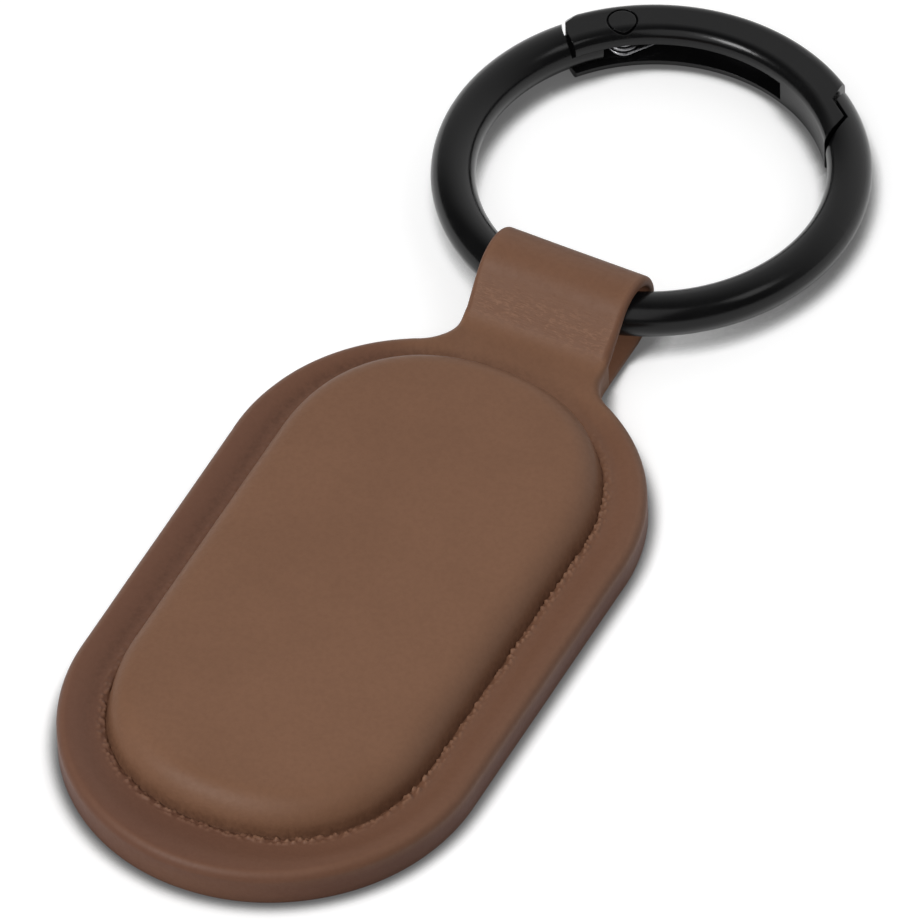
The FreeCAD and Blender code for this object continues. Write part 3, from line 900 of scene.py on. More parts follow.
            mild = smooth_step(-0.5, 0.5, s.soft_way[0] * way[0] + s.soft_way[1] * way[1])
            for hard_point, soft_point in zip(firm, full):
                reach, z = between(hard_point, soft_point, mild)
                put(*station.at(reach * scale), z)
            start, end = station.at(s.flange_start * scale), self.rim_point(station, rim)
            for t in np.linspace(0, 1, self.TOP_STEPS["flange"] + 1):
                x, y = between(start, end, t)
                z = s.flange_top + s.swell * (1 - t ** 3) + s.swell_rise * (1 - t)
                z += lift * smooth_step(0.0, 1.0, t)
                z -= soft * s.rim_press * bell(t - s.press_share, s.press_width_share)
                put(x, y, z + self.rise(y))
            mouth_rows.update(range(len(column) - 1))
            top = s.flange_top + lift + self.rise(end[1])
            power = 1 + s.rim_power_share * soft
            for t in np.linspace(0, 1, self.RIM_STEPS + 1)[1:]:
                angle = math.pi / 2 * t
                across, down = math.sin(angle) ** power, max(0.0, math.cos(angle)) ** power
                # the rim's paler line is partly wear and partly a painted highlight, strongest where the rim
                # turns down
                edge_wear_and_highlight = math.sin(math.pi * min(1.0, self.marks.rim_wear * t))
                put(*self.rim_point(station, rim * (1 - across)), top - rim * (1 - down), edge_wear_and_highlight)
            outer = self.rim_point(station, 0.0)
            side_top = top - max(deep - s.strap_chamfer, rim + s.seam)
            for t in np.linspace(0, 1, self.SIDE_STEPS + 1):
                put(*outer, side_top + (s.foot_round - side_top) * t)
            for t in np.linspace(0, 1, self.FOOT_STEPS + 1)[1:]:
                up, inset = quarter(s.foot_round, t)
                put(*self.rim_point(station, inset), up)
            lining = self.rim_point(station, s.leather)
            put(*lining, 0.0)
            lining_row = len(column)
            inner = station.at(inner_wall * scale)
            for t in np.linspace(0, 1, self.UNDER_STEPS + 1):
                x, y = between(lining, inner, t)
                put(x, y, under + self.rise(y, s.leather))
            for reach, z in self.lining_profile():
                put(*station.at(reach * scale), z)
            mouth_rows.update(range(lining_row, len(column) - 1))
            grid.append(column)
        skin.columns(grid, [station.part is Part.EDGE for station in self.stations], mouth_rows)

    def cut_depth(self) -> float:
        """Upright thickness of the strap where it leaves the neck."""
        s = self.sizes
        return s.leather + self.rise(self.cut_y) - self.rise(self.cut_y, s.leather)

    def lining_profile(self) -> list[Pair]:
        """Section of the pod's lining, from its wall to the spine.

        Returns:
            Distances from the spine and heights.
        """
        s = self.sizes
        top_end = self.top_end(s.pod_shoulder)
        radius = s.pod_shoulder - s.leather
        points = []
        for t in np.linspace(0, 1, self.LINING_POINTS):
            angle = s.pod_lean + (math.pi / 2 - s.pod_lean) * t
            height = s.edge_top - s.pod_shoulder + radius * math.sin(angle)
            points.append((top_end + radius * math.cos(angle), height))
        half_way = 0.5
        middle = s.edge_top - s.leather + s.pod_crown * (1 - half_way ** 2)
        return points + [(top_end * half_way, middle), (0.0, s.pod_top - s.leather)]

    def marks_at(self, x: float, y: float, z: float, reach: float, way: Pair) -> dict[str, float]:
        """What the finish reads on the flange and pod.

        The crease is painted darker as shade, with a band of painted shade beside it on the far and left
        sides, and beads just outside it. Painted shade darkens the border, by the way it faces and most of
        all on its side, but not the neck. The lining has no crease and no beads.

        Args:
            x: Place across the holder.
            y: Place along it.
            z: Height.
            reach: Distance from the spine.
            way: The way out from the pod.

        Returns:
            Strengths by name, where 1 is a mark's own strength.
        """
        s, m = self.sizes, self.marks
        away = reach - s.crease_half
        border = smooth_step(*m.border_start, away)
        neck = smooth_step(*m.neck_start, y - self.neck_y) * (1 - smooth_step(*m.neck_half, abs(x)))
        side = 1 - smooth_step(*m.side_drop, z - s.flange_top)
        # painted shade: darker border and side wall, by the way each faces, but not at the neck
        tone = m.border_tone + m.border_sides.at(way) + side * m.side_sides.at(way)
        marks = {"tone": border * (1 - neck) * tone, "flex": self.flex_at(y, z)}
        if z >= s.flange_top - m.lining_drop:
            beside = away - m.crease_out
            # painted shade: a dark band on the flange beside the crease, on the far and left sides, where the
            # pod's wall shades it
            facing = max(0.0, m.band_way[0] * way[0] + m.band_way[1] * way[1])
            band = m.band_share * facing * bell(beside - m.band_out, m.band_width)
            marks["crease"] = bell(beside, m.crease_inner if beside < 0 else m.crease_outer) + band
            marks["bead"] = smooth_step(*m.bead_start, away) * (1 - smooth_step(*m.bead_end, away))
        return marks

    def flex_at(self, y: float, z: float) -> float:
        """Strength of the flex lines on the climbing strap.

        Args:
            y: Place along the holder.
            z: Height.

        Returns:
            From 0 to 1.
        """
        m = self.marks
        rising = smooth_step(*m.flex_start, y - self.neck_y)
        falling = 1 - smooth_step(*m.flex_end, y - self.loop.y)
        return rising * falling * smooth_step(*m.flex_height, z)

    def strap_path(self) -> list[tuple[Pair, Pair]]:
        """Outer line of the strap from the mouth round the loop to the end of its tail.

        Returns:
            Points along and up, each with the way out of the leather.
        """
        s = self.sizes
        loop = self.loop
        path: list[tuple[Pair, Pair]] = []
        bend_z = s.flange_top + s.bend_round
        first = math.asin((self.cut_y - self.bend_y) / s.bend_round)

        def add_line(start: Pair, end: Pair, out: Pair, step: float) -> None:
            """Adds a straight stretch without its end."""
            count = max(1, round(math.dist(start, end) / step))
            path.extend((between(start, end, t), out) for t in shares(count))

        count = max(2, round((s.climb - first) * s.bend_round / self.FLEX_SECTION_MM))
        for angle in np.linspace(first, s.climb, count, endpoint=False):
            out = (-math.sin(angle), math.cos(angle))
            path.append(((self.bend_y - s.bend_round * out[0], bend_z - s.bend_round * out[1]), out))
        out = (-math.sin(s.climb), math.cos(s.climb))
        leave = (self.bend_y - s.bend_round * out[0], bend_z - s.bend_round * out[1])
        reach = (loop.y + loop.radius * out[0], loop.z + loop.radius * out[1])
        add_line(leave, reach, out, self.FLEX_SECTION_MM)
        turn = s.climb + math.pi
        count = round(turn * loop.radius / self.SECTION_MM)
        for angle in np.linspace(math.pi / 2 + s.climb, -math.pi / 2, count, endpoint=False):
            out = (math.cos(angle), math.sin(angle))
            path.append(((loop.y + loop.radius * out[0], loop.z + loop.radius * out[1]), out))
        tail_end = (self.cut_y + s.seam, loop.z - loop.radius)
        add_line((loop.y, loop.z - loop.radius), tail_end, (0.0, -1.0), self.SECTION_MM)
        path.append((tail_end, (0.0, -1.0)))
        return path

    def _strap_skin(self, skin: "Skin") -> None:
        """Adds the strap as a closed band along its path.

        Args:
            skin: The skin that is being made.
        """
        s, m = self.sizes, self.marks
        across = np.linspace(1, -1, self.MOUTH_STEPS + 1)
        turns = np.linspace(0, 1, self.RIM_STEPS + 1)[1:]
        rows: list[list[int]] = []
        travelled = 0.0
        last: Optional[Pair] = None
        for spot, out in self.strap_path():
            travelled += math.dist(spot, last) if last else 0.0
            depth, way = (s.leather, out) if last else (self.cut_depth(), (0.0, 1.0))
            last = spot
            eased = smooth_step(0.0, s.strap_ease, travelled)
            edge_round = s.rim_round + (s.strap_round - s.rim_round) * eased
            row: list[int] = []

            def put(x: float, down: float, edge: float = 0.0) -> None:
                """Adds a point of this section.

                Args:
                    x: Place across the strap.
                    down: Depth under its face.
                    edge: Strength of the worn edge.
                """
                y, z = spot[0] - way[0] * down, spot[1] - way[1] * down
                # painted shade: the strap's face a little darker, its sides and underside more
                flex, tone = (self.flex_at(y, z), m.strap_tone) if down == 0 else (0.0, m.strap_side_tone)
                row.append(skin.point(x, y, z, edge=edge, flex=flex, tone=tone))

            def put_round(side: int, turn: float) -> None:
                """Adds a point of the rounded edge, on the right for 1 and on the left for -1."""
                inset, down = quarter(edge_round, turn)
                put(side * (s.strap_half - inset), down, 1 - m.strap_wear * turn)

            for share in across:
                near_edge = smooth_step(*m.strap_edge_shares, abs(share)) * m.strap_edge
                put(share * (s.strap_half - edge_round), 0.0, near_edge)
            for turn in turns:
                put_round(-1, turn)
            put(-s.strap_half, depth - s.strap_chamfer, m.strap_foot)
            put(s.strap_chamfer - s.strap_half, depth)
            for share in reversed(across):
                put(share * (s.strap_half - s.leather), depth)
            put(s.strap_half - s.strap_chamfer, depth)
            put(s.strap_half, depth - s.strap_chamfer, m.strap_foot)
            for turn in reversed(turns):
                put_round(1, turn)
            rows.append(row)
        skin.band(rows)

    def back_mesh(self) -> bpy.types.Object:
        """Back leather: a plate inside the turned edge, with the window for the tag.

        Returns:
            The object, not yet dressed.
        """
        s = self.sizes
        skin = Skin()
        grid: list[list[int]] = []
        turns = np.linspace(0, 1, self.BACK_EDGE_POINTS)
        for station in self.stations:
            column: list[int] = []
            outer = self.rim_point(station, s.back_inset)
            if station.part is Part.MOUTH:
                outer = (outer[0], outer[1] - s.seam)
            inner = self.tag_point(station, s.window_half)

            def put(t: float, z: float, edge: float = 0.0) -> None:
                """Adds a point between the window and the outline."""
                column.append(skin.point(*between(inner, outer, t), z, edge=edge, seat=inner))

            span = math.dist(inner, outer)
            for turn in turns:
                inset, z = quarter(s.back_round, turn)
                put(inset / span, z, turn * self.marks.back_wear)
            for t in np.linspace(0, 1, self.BACK_POINTS)[1:-1]:
                put((s.back_round + (span - 2 * s.back_round) * t) / span, 0.0)
            for turn in reversed(turns):
                inset, z = quarter(s.back_round, turn)
                put(1 - inset / span, z, turn * self.marks.back_wear)
            for t in (1.0, 0.0):
                put(t, s.leather - s.back_gap)
            column.append(column[0])
            grid.append(column)
        skin.columns(grid)
        return skin.object("leather_back")

    def foam_mesh(self) -> bpy.types.Object:
        """Thin foam pad under the pod's leather, with soft rounded edges and a slight crown.

        Returns:
            The object, not yet dressed.
        """
        s = self.sizes
        skin = Skin()
        half = (s.foam_high - s.foam_low) / 2
        middle = (s.foam_high + s.foam_low) / 2
        flat = s.foam_half - half
        profile = [(0.0, s.foam_high)]
        profile += [(flat * t, s.foam_high - s.foam_crown * t * t) for t in self.FOAM_CROWN_SHARES]
        for t in np.linspace(0, 1, self.FOAM_EDGE_POINTS):
            angle = math.pi / 2 - math.pi * t
            profile.append((flat + half * math.cos(angle), middle + (half - s.foam_crown) * math.sin(angle)))
        profile += [(s.foam_half / 2, s.foam_low), (0.0, s.foam_low)]
        grid: list[list[int]] = []
        for station in self.stations[::self.FOAM_STRIDE]:
            grid.append([skin.point(*self.tag_point(station, reach), z) for reach, z in profile])
        skin.columns(grid)
        return skin.object("pod_pad")

    def build(self) -> None:
        """Makes, dresses and places the three soft pieces."""
        relief = Relief("leather_relief", ReliefSizes())
        front = relief.bake(self.front_mesh(), self.front_finish.material())
        place(front, "holder", "leather", "front_cover")
        back = relief.bake(self.back_mesh(), self.back_finish.material())
        place(back, "holder", "leather_back", "back_cover")
        pad = self.foam_mesh()
        pad.data.materials.append(self.foam_finish.material())
        place(pad, "holder", "foam", "pod_foam")


def smooth_step(low: float, high: float, value: float) -> float:
    """Smooth change from 0 at low to 1 at high."""
    t = min(1.0, max(0.0, (value - low) / (high - low)))
    return t * t * (3 - 2 * t)


def bell(value: float, width: float) -> float:
    """Bell-shaped strength: 1 at 0, and less the further the value is away."""
    return math.exp(-(value / width) ** 2)


def shares(count: int) -> np.ndarray:
    """Even shares from 0 up to 1, without 1."""
    return np.linspace(0, 1, count, endpoint=False)


def between(start: Pair, end: Pair, share: float) -> Pair:
    """Point at a share of the way from start to end."""
    return start[0] + (end[0] - start[0]) * share, start[1] + (end[1] - start[1]) * share


def quarter(radius: float, share: float) -> Pair:
    """How far a quarter round is from its side and from its top, at a share of its turn from the top."""
    angle = math.pi / 2 * share
    return radius * (1 - math.sin(angle)), radius * (1 - math.cos(angle))


def smooth_run(
    knots: Sequence[Pair], first: int, last: int, steps: int, fine_steps: int = 24
) -> list[Pair]:
    """Even points on a smooth line through knots.

    Args:
        knots: The line's knots, with at least one beyond each end of the run.
        first: Index of the knot where the run starts.
        last: Index of the knot where it ends.
        steps: How many points, without the end.
        fine_steps: Points between two knots by which the line is measured.

    Returns:
        The points.
    """
    fine: list[Pair] = []
    for index in range(first, last):
        p0, p1, p2, p3 = (np.array(knots[max(0, min(len(knots) - 1, index + k))]) for k in (-1, 0, 1, 2))
        for t in shares(fine_steps):
            point = 0.5 * (
                2 * p1 + (p2 - p0) * t + (2 * p0 - 5 * p1 + 4 * p2 - p3) * t ** 2
                + (3 * p1 - p0 - 3 * p2 + p3) * t ** 3)
            fine.append((float(point[0]), float(point[1])))
    fine.append(knots[last])
    lengths = np.concatenate([[0.0], np.cumsum([math.dist(a, b) for a, b in zip(fine, fine[1:])])])
    wanted = np.linspace(0, lengths[-1], steps, endpoint=False)
    xs = np.interp(wanted, lengths, [point[0] for point in fine])
    zs = np.interp(wanted, lengths, [point[1] for point in fine])
    return list(zip(xs.tolist(), zs.tolist()))


class Skin:
    """Collects the points and faces of one closed piece, with what its finish reads at each point."""

    WELD = 0.0004 * MM
    SHARP = math.radians(48)

    def __init__(self) -> None:
        """Starts an empty mesh."""
        self.mesh = bmesh.new()
        layers = self.mesh.verts.layers
        self.marks = {key: layers.float.new(key) for key in ("crease", "bead", "edge", "flex", "tone")}
        self.places = {key: layers.float_vector.new(key) for key in ("seat", "way")}
        self.points: list[bmesh.types.BMVert] = []

    def point(
        self, x: float, y: float, z: float, seat: Pair = (0.0, 0.0), way: Pair = (0.0, 0.0), **marks: float
    ) -> int:
        """Adds a point.

        Args:
            x: Place across, in millimetres.
            y: Place along.
            z: Height.
            seat: Place on the crease line that belongs to it.
            way: The way out from the pod there.
            **marks: Strengths by name, of the pressed crease with its painted shade, the gathered beads beside
                it, the edge's wear and painted highlight, the flex lines and the painted shade; those left out
                are 0.

        Returns:
            The point's number.
        """
        vert = self.mesh.verts.new((x * MM, y * MM, z * MM))
        for key, strength in marks.items():
            vert[self.marks[key]] = strength
        vert[self.places["seat"]] = (seat[0] * MM, seat[1] * MM, 0.0)
        vert[self.places["way"]] = (way[0], way[1], 0.0)
        self.points.append(vert)
        return len(self.points) - 1

    def face(self, corners: Iterable[int]) -> None:
        """Adds a face unless it has fallen together.

        Args:
            corners: Numbers of its points.
        """
        verts = [self.points[index] for index in corners]
        if len({tuple(vert.co) for vert in verts}) > 2:
            self.mesh.faces.new(verts)

    def columns(
        self,
        grid: Sequence[Sequence[int]],
        whole: Optional[Sequence[bool]] = None,
        kept: Iterable[int] = (),
    ) -> None:
        """Joins columns of points all the way round.

        Args:
            grid: One column for each station.
            whole: Whether a station has all its rows; without it, each has.
            kept: Rows that are joined where a station hasn't.
        """
        for index, column in enumerate(grid):
            after = (index + 1) % len(grid)
            other = grid[after]
            both = whole is None or (whole[index] and whole[after])
            for row in range(len(column) - 1):
                if both or row in kept:
                    self.face((column[row], other[row], other[row + 1], column[row + 1]))

    def band(self, rows: Sequence[Sequence[int]]) -> None:
        """Joins closed sections along a path.

        Args:
            rows: The sections in order.
        """
        for row, after in zip(rows, rows[1:]):
            for index in range(len(row)):
                beside = (index + 1) % len(row)
                self.face((row[index], row[beside], after[beside], after[index]))

    def object(self, name: str) -> bpy.types.Object:
        """Welds the mesh, closes its open ends with flat faces and makes it an object.

        Args:
            name: The piece's name.

        Returns:
            The object, in the scene.
        """
        mesh = self.mesh
        loose = [vert for vert in mesh.verts if not vert.link_faces]
        bmesh.ops.delete(mesh, geom=loose, context="VERTS")
        bmesh.ops.remove_doubles(mesh, verts=mesh.verts, dist=self.WELD)
        bmesh.ops.dissolve_degenerate(mesh, edges=mesh.edges, dist=self.WELD / 2)
        open_edges = [edge for edge in mesh.edges if len(edge.link_faces) == 1]
        bmesh.ops.holes_fill(mesh, edges=open_edges, sides=0)
        wide = [face for face in mesh.faces if len(face.verts) > 4]
        bmesh.ops.triangulate(mesh, faces=wide)
        bmesh.ops.recalc_face_normals(mesh, faces=mesh.faces)
        data = bpy.data.meshes.new(name)
        mesh.to_mesh(data)
        mesh.free()
        data.shade_smooth()
        data.set_sharp_from_angle(angle=self.SHARP)
        made = bpy.data.objects.new(name, data)
        bpy.context.scene.collection.objects.link(made)
        return made


@dataclass(frozen=True)
class ReliefSizes:
    """Depths and lengths of the leather's own relief, in millimetres, and the seed of its noise."""

    bead: float = 0.3
    bead_length: float = 0.54
    sway: float = 0.22
    sway_length: float = 0.9
    pull: float = 0.2
    pull_length: float = 0.4
    wave: float = 0.05
    wave_length: float = 9.0
    flex: float = 0.012
    flex_length: float = 0.5
    flex_width: float = 1.8
    seed: float = 0.37


class Relief:
    """Geometry nodes that pucker the crease, wrinkle the strap and let the leather wave a little."""

    BEADED_WAY = (0.5, -0.85, 0.0)
    STRONG_WAVES = 1.6
    BEAD_SMOOTHNESS = 0.15

    def __init__(self, name: str, sizes: ReliefSizes) -> None:
        """Builds the tree under a name, for the relief's sizes."""
        self.sizes = sizes
        self.tree = self._tree(name)

    def _tree(self, name: str) -> bpy.types.NodeTree:
        """Builds the tree.

        Args:
            name: Its name.

        Returns:
            The tree, with its sizes as named inputs.
        """
        tree = bpy.data.node_groups.new(name, "GeometryNodeTree")
        face = tree.interface
        face.new_socket("Geometry", in_out="INPUT", socket_type="NodeSocketGeometry")
        for size in self.sizes.__dataclass_fields__:
            face.new_socket(size, in_out="INPUT", socket_type="NodeSocketFloat")
        face.new_socket("Finish", in_out="INPUT", socket_type="NodeSocketMaterial")
        face.new_socket("Geometry", in_out="OUTPUT", socket_type="NodeSocketGeometry")
        graph = Graph(tree)
        given = tree.nodes.new("NodeGroupInput")

        def size(key: str) -> Sock:
            """A named input of the tree."""
            return Sock(graph, given.outputs[key])

        def mark(key: str, kind: str = "FLOAT") -> Sock:
            """An attribute that the skin carries."""
            settings = {"data_type": kind}
            return graph.node("GeometryNodeInputNamedAttribute", settings, {"Name": key}, "Attribute")

        def counted(vector: Sock, length: str) -> Sock:
            """A vector counted in one of the lengths, and moved by the seed."""
            return graph.vector("ADD", graph.scale(vector, 1.0 / size(length)), shift)

        spot = graph.node("GeometryNodeInputPosition")
        shift = graph.node("ShaderNodeCombineXYZ", {}, {axis: size("seed") for axis in "XYZ"})
        crease, bead, flex = mark("crease"), mark("bead"), mark("flex")
        seat, way = mark("seat", "FLOAT_VECTOR"), mark("way", "FLOAT_VECTOR")
        cells = graph.node(
            "ShaderNodeTexVoronoi", {"feature": "SMOOTH_F1", "voronoi_dimensions": "2D"},
            {"Vector": counted(spot, "bead_length"), "Scale": 1.0, "Smoothness": self.BEAD_SMOOTHNESS},
            "Distance")
        strong = graph.noise(counted(seat, "wave_length"), self.STRONG_WAVES, 1.0)
        facing = graph.vector("DOT_PRODUCT", way, self.BEADED_WAY, "Value")
        share = strong.span(0.35, 0.65, 0.5, 1.0) * facing.span(-0.6, 0.5, 0.2, 1.0)
        beads = cells.span(0.55, 0.1) * bead * share
        pulls = (graph.noise(counted(seat, "pull_length"), 1.0, 1.0) - 0.5) * bead * size("pull")
        swing = graph.noise(counted(seat, "sway_length"), 1.0, 2.0, 0.6)
        sway = graph.scale(way, (crease + bead) * share * (swing - 0.5) * size("sway") * 2.0)
        unmoved = graph.scale(spot, 1.0 / size("wave_length"))
        wave = (graph.noise(unmoved, 1.0, 1.0) - 0.5) * size("wave")
        width, length = 1.0 / size("flex_width"), 1.0 / size("flex_length")
        stretch = graph.node("ShaderNodeCombineXYZ", {}, {"X": width, "Y": length, "Z": length})
        wrinkle = flex * (graph.streaks(spot, stretch) - 0.5) * size("flex") * 2.0
        normal = graph.node("GeometryNodeInputNormal")
        lift = graph.scale(normal, beads * size("bead") + pulls + wave + wrinkle)
        marked = graph.node(
            "GeometryNodeStoreNamedAttribute", {"data_type": "FLOAT", "domain": "POINT"},
            {"Geometry": size("Geometry"), "Name": "nub", "Value": beads})
        moved = graph.node(
            "GeometryNodeSetPosition", {}, {"Geometry": marked, "Offset": graph.vector("ADD", lift, sway)})
        whole = graph.node("GeometryNodeRealizeInstances", {}, {"Geometry": moved})
        dressed = graph.node(
            "GeometryNodeSetMaterial", {}, {"Geometry": whole, "Material": size("Finish")})
        graph.node("NodeGroupOutput", {}, {"Geometry": dressed})
        return tree

    def bake(self, piece: bpy.types.Object, finish: bpy.types.Material) -> bpy.types.Object:
        """Runs the tree on a piece and keeps the result as its plain mesh.

        Args:
            piece: The piece.
            finish: Its material.

        Returns:
            The same piece.
        """
        modifier = piece.modifiers.new("relief", "NODES")
        modifier.node_group = self.tree
        values = {key: getattr(self.sizes, key) * (1.0 if key == "seed" else MM)
                  for key in self.sizes.__dataclass_fields__}
        for item in self.tree.interface.items_tree:
            if item.in_out == "INPUT" and item.name in values:
                modifier[item.identifier] = values[item.name]
            elif item.in_out == "INPUT" and item.name == "Finish":
                modifier[item.identifier] = finish
        graph = bpy.context.evaluated_depsgraph_get()
        result = bpy.data.meshes.new_from_object(piece.evaluated_get(graph))
        piece.modifiers.remove(modifier)
        piece.data = result
        if finish.name not in result.materials:
            result.materials.append(finish)
        return piece


def place(piece: bpy.types.Object, body: str, slot: str, *nodes: str) -> None:
    """Lets a piece ride on its body and stand for its nodes.

    Args:
        piece: The piece.
        body: The body's name.
        slot: The record's material slot; not used.
        *nodes: The nodes that it stands for.
    """
    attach(piece, body)
    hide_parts(*nodes)
    log.info("piece %s on %s: %d faces", piece.name, body, len(piece.data.polygons))


@dataclass
class DressedNodes:
    """A sub-assembly whose solids keep their shape and get their finish."""

    title: str
    finishes: dict[str, Finish]

    def build(self) -> None:
        """Gives each node its finish."""
        for node, finish in self.finishes.items():
            data = frame["nodes"][node].data
            data.materials.clear()
            data.materials.append(finish.material())
            log.info("%s: %s dressed in %s", self.title, node, finish.name)


@dataclass(frozen=True)
class Softbox:
    """One square lamp that looks at the origin: its place and side in metres, and the light of its face."""

    name: str
    place: Colour
    side: float
    radiance: float
    casts: bool = True


@dataclass(frozen=True)
class CameraPlace:
    """The photograph's camera: angles in degrees, lengths in millimetres, focal length in pixels."""

    elevation: float
    azimuth: float
    roll: float
    distance: float
    focal_px: float
    target: Colour
    frame_px: float = 924.0
    sensor: float = 36.0


class Studio:
    """Floor, lamps, world and camera."""

    WALL_TURN = 35.0
    PAPER = 0.5
    WHITE = 0.8
    GLOW = 0.37
    # Reach and span of the floor's painted contact shadow.
    CONTACT_MM = 2.8
    OPEN_SKY = (0.5, 0.86, 0.15, 1.0)
    FLOOR_HALF = 3.0
    FLOOR_DROP_MM = 0.02
    WALL_SPAN = (-0.1, 1.0)

    def __init__(self, camera: CameraPlace, lamps: Sequence[Softbox], ambient: Pair) -> None:
        """Keeps the studio's settings.

        Args:
            camera: The photograph's camera.
            lamps: The softboxes.
            ambient: Light from the walls on the camera's side and behind the object.
        """
        self.camera = camera
        self.lamps = lamps
        self.ambient = ambient

    def build(self) -> None:
        """Makes the studio."""
        bpy.context.scene.view_settings.view_transform = "Standard"
        self._floor()
        self._world()
        for lamp in self.lamps:
            self._lamp(lamp)
        self._camera()

    def _floor(self) -> None:
        """Pale floor that shows white where no shadow falls, with a painted contact shadow from ambient
        occlusion in its colour and glow.
        """
        mesh = bpy.data.meshes.new("floor")
        half, low = self.FLOOR_HALF, -self.FLOOR_DROP_MM * MM
        corners = [(-half, -half, low), (half, -half, low), (half, half, low), (-half, half, low)]
        mesh.from_pydata(corners, [], [(0, 1, 2, 3)])
        floor = bpy.data.objects.new("floor", mesh)
        bpy.context.scene.collection.objects.link(floor)
        made = bpy.data.materials.new("floor_paper")
        graph = Graph.fresh(made)
        ways = ("Is Camera Ray", "Is Glossy Ray", "Is Transmission Ray")
        camera, glossy, clear = (graph.node("ShaderNodeLightPath", output=way) for way in ways)
        seen = (camera + glossy + clear).span(0.0, 1.0)
        paper = graph.node("ShaderNodeBsdfDiffuse", {}, {"Color": (*[self.PAPER] * 3, 1.0)})
        # painted shadow: ambient occlusion darkens the floor's white and glow close to the object
        contact = {"Distance": self.CONTACT_MM * MM}
        painted_contact_shade = graph.node("ShaderNodeAmbientOcclusion", {"samples": 16}, contact, "AO").span(*self.OPEN_SKY)
        white = graph.node("ShaderNodeBsdfDiffuse", {}, {"Color": painted_contact_shade * self.WHITE})
        glow = graph.node("ShaderNodeEmission", {}, {"Color": painted_contact_shade, "Strength": self.GLOW})
        shown = graph.node("ShaderNodeAddShader", {}, {0: white, 1: glow})
        surface = graph.node("ShaderNodeMixShader", {}, {0: seen, 1: paper, 2: shown})
        graph.node("ShaderNodeOutputMaterial", {}, {"Surface": surface})
        mesh.materials.append(made)

    def _world(self) -> None:
        """Light walls behind the object, dark ones beside the camera; white where the camera looks."""
        world = bpy.data.worlds.new("studio")
        graph = Graph.fresh(world)
        seen = graph.node("ShaderNodeLightPath", output="Is Camera Ray")
        azimuth = math.radians(self.camera.azimuth - self.WALL_TURN)
        away = (-math.sin(azimuth), math.cos(azimuth), 0.0)
        look = graph.node("ShaderNodeTexCoord", output="Generated")
        walls = graph.vector("DOT_PRODUCT", look, away, "Value").span(*self.WALL_SPAN, *self.ambient)
        strength = seen * (1.0 - walls) + walls
        back = graph.node("ShaderNodeBackground", {}, {"Color": (1.0, 1.0, 1.0, 1.0), "Strength": strength})
        graph.node("ShaderNodeOutputWorld", {}, {"Surface": back})
        bpy.context.scene.world = world

    @staticmethod
    def _lamp(lamp: Softbox) -> None:
        """Makes a softbox.

        Args:
            lamp: Its settings.
        """
        data = bpy.data.lights.new(lamp.name, "AREA")
        data.shape = "SQUARE"
        data.size = lamp.side
        data.energy = lamp.radiance * math.pi * lamp.side * lamp.side
        data.use_shadow = lamp.casts
        made = bpy.data.objects.new(lamp.name, data)
        turn = (-Vector(lamp.place)).to_track_quat("-Z", "Y").to_matrix().to_4x4()
        made.matrix_world = Matrix.Translation(lamp.place) @ turn
        bpy.context.scene.collection.objects.link(made)

    def _camera(self) -> None:
        """Makes the camera at the photograph's angle."""
        c = self.camera
        elevation, azimuth, roll = (math.radians(angle) for angle in (c.elevation, c.azimuth, c.roll))
        level = math.cos(elevation)
        back = Vector((math.sin(azimuth) * level, -math.cos(azimuth) * level, math.sin(elevation)))
        right = Vector((math.cos(azimuth), math.sin(azimuth), 0.0))
        up = back.cross(right)
        turned_right = right * math.cos(roll) + up * math.sin(roll)
        turned_up = up * math.cos(roll) - right * math.sin(roll)
        data = bpy.data.cameras.new("camera")
        data.sensor_width = c.sensor
        data.lens = c.focal_px * c.sensor / c.frame_px
        made = bpy.data.objects.new("camera", data)
        turn = Matrix((turned_right, turned_up, back)).transposed().to_4x4()
        made.matrix_world = Matrix.Translation((Vector(c.target) + back * c.distance) * MM) @ turn
        bpy.context.scene.collection.objects.link(made)
        bpy.context.scene.camera = made


LEATHER = LeatherFinish(
    "brown_leather", face=(0.2, 0.099, 0.056), shade=(0.184, 0.09, 0.05), deep=(0.07, 0.03, 0.017),
    worn=(0.31, 0.165, 0.1), dyed=(0.118, 0.05, 0.032))
LEATHER_BACK = LeatherFinish(
    "brown_leather_back", face=(0.176, 0.083, 0.045), shade=(0.16, 0.074, 0.04), deep=(0.07, 0.03, 0.017),
    worn=(0.26, 0.135, 0.08), dyed=(0.118, 0.05, 0.032))
FOAM = MouldedFinish("pod_foam_cells", (0.09, 0.09, 0.092), (0.05, 0.05, 0.052), 0.9, 0.35, 0.08)
LACQUER = LacquerFinish("black_lacquer", (0.003, 0.003, 0.0032), (0.006, 0.006, 0.0062))
RING_NODES = {
    "ring_body": LACQUER,
    "ring_gate": LACQUER,
    "gate_rivet": LACQUER,
    "gate_spring": MetalFinish("spring_wire", (0.32, 0.32, 0.33), (0.16, 0.16, 0.17), 0.28),
}
TAG_PLASTIC = MouldedFinish("tag_plastic_black", (0.032, 0.032, 0.034), (0.02, 0.02, 0.022), 0.5)
CONTACT = MetalFinish("contact_plating", (0.72, 0.6, 0.36), (0.5, 0.4, 0.22), 0.26)
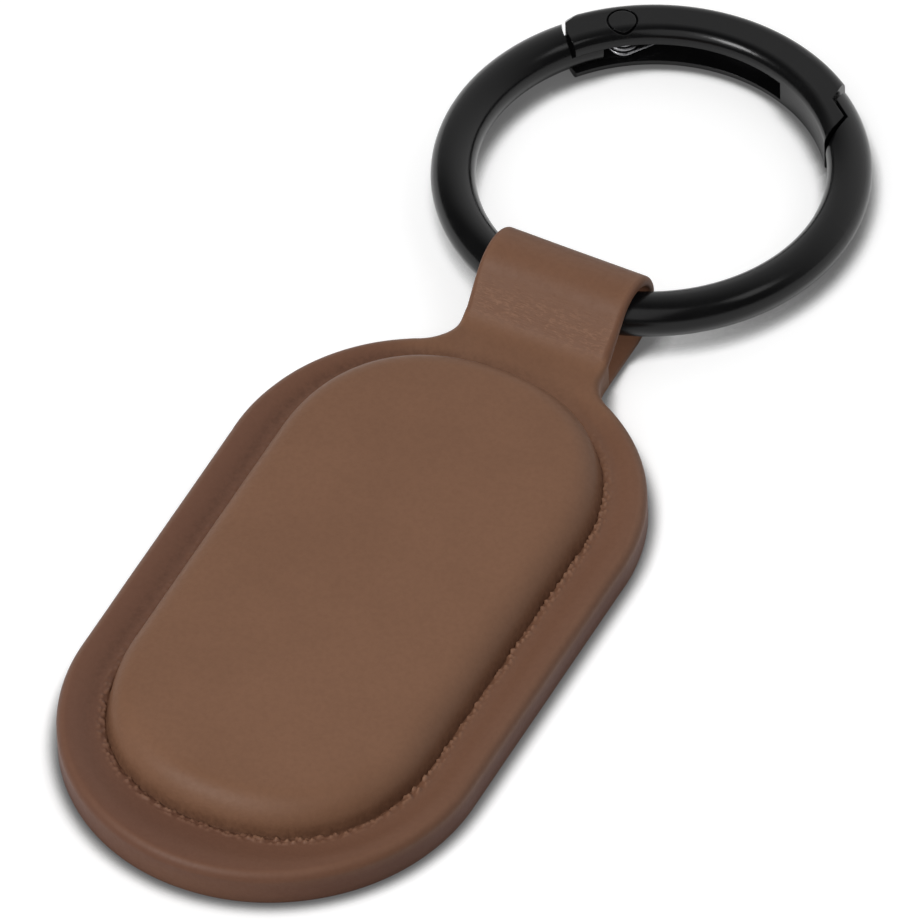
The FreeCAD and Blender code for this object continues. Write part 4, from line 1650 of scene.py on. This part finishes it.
TAG_NODES = {
    "tag_back_shell": TAG_PLASTIC,
    "tag_front_shell": TAG_PLASTIC,
    "battery_door": MouldedFinish(
        "door_plastic_black", (0.04, 0.04, 0.042), (0.026, 0.026, 0.028), 0.42, 0.14, 0.009),
    "door_seal": MouldedFinish(
        "seal_rubber_black", (0.02, 0.02, 0.02), (0.012, 0.012, 0.012), 0.75, 0.1, 0.006),
    "button_cap": MouldedFinish(
        "button_rubber_grey", (0.06, 0.06, 0.063), (0.04, 0.04, 0.043), 0.7, 0.12, 0.008),
    "coin_cell": MetalFinish("cell_can", (0.62, 0.61, 0.59), (0.45, 0.44, 0.42), 0.24),
    "circuit_board": BoardFinish(
        "circuit_laminate", (0.012, 0.06, 0.03), (0.02, 0.085, 0.042), 0.45, (0.08, 0.5)),
    "negative_contact": CONTACT,
    "positive_contact": CONTACT,
    "radio_shield": MetalFinish("shield_tin", (0.66, 0.66, 0.65), (0.5, 0.5, 0.5), 0.3),
    "buzzer": MouldedFinish(
        "sounder_plastic_black", (0.025, 0.025, 0.025), (0.015, 0.015, 0.015), 0.5, 0.1, 0.006),
    "tact_switch": MetalFinish("switch_steel", (0.6, 0.6, 0.6), (0.4, 0.4, 0.4), 0.34),
    "stiffener_board": BoardFinish("pressed_board", (0.2, 0.13, 0.085), (0.27, 0.18, 0.12)),
}
CAMERA = CameraPlace(
    elevation=47.982, azimuth=29.966, roll=-3.201, distance=3000.0, focal_px=33348.41,
    target=(-0.5795, 0.0302, 0.0))
LAMPS = [
    Softbox("key_softbox", (-0.347, -0.602, 0.719), side=0.33, radiance=15.5, casts=False),
    Softbox("key_sheet", (0.0, -0.833, 0.863), side=1.2, radiance=1.05),
    Softbox("fill_softbox", (0.669, 0.0, 0.743), side=0.32, radiance=2.0),
]
WALLS = (0.1, 1.05)


def main() -> None:
    """Builds the object in order, then the studio."""
    LeatherHolder(HolderSizes(), MarkSizes(), LEATHER, LEATHER_BACK, FOAM).build()
    DressedNodes("ring", RING_NODES).build()
    DressedNodes("tag", TAG_NODES).build()
    Studio(CAMERA, LAMPS, WALLS).build()


if __name__ == "__main__":
    main()
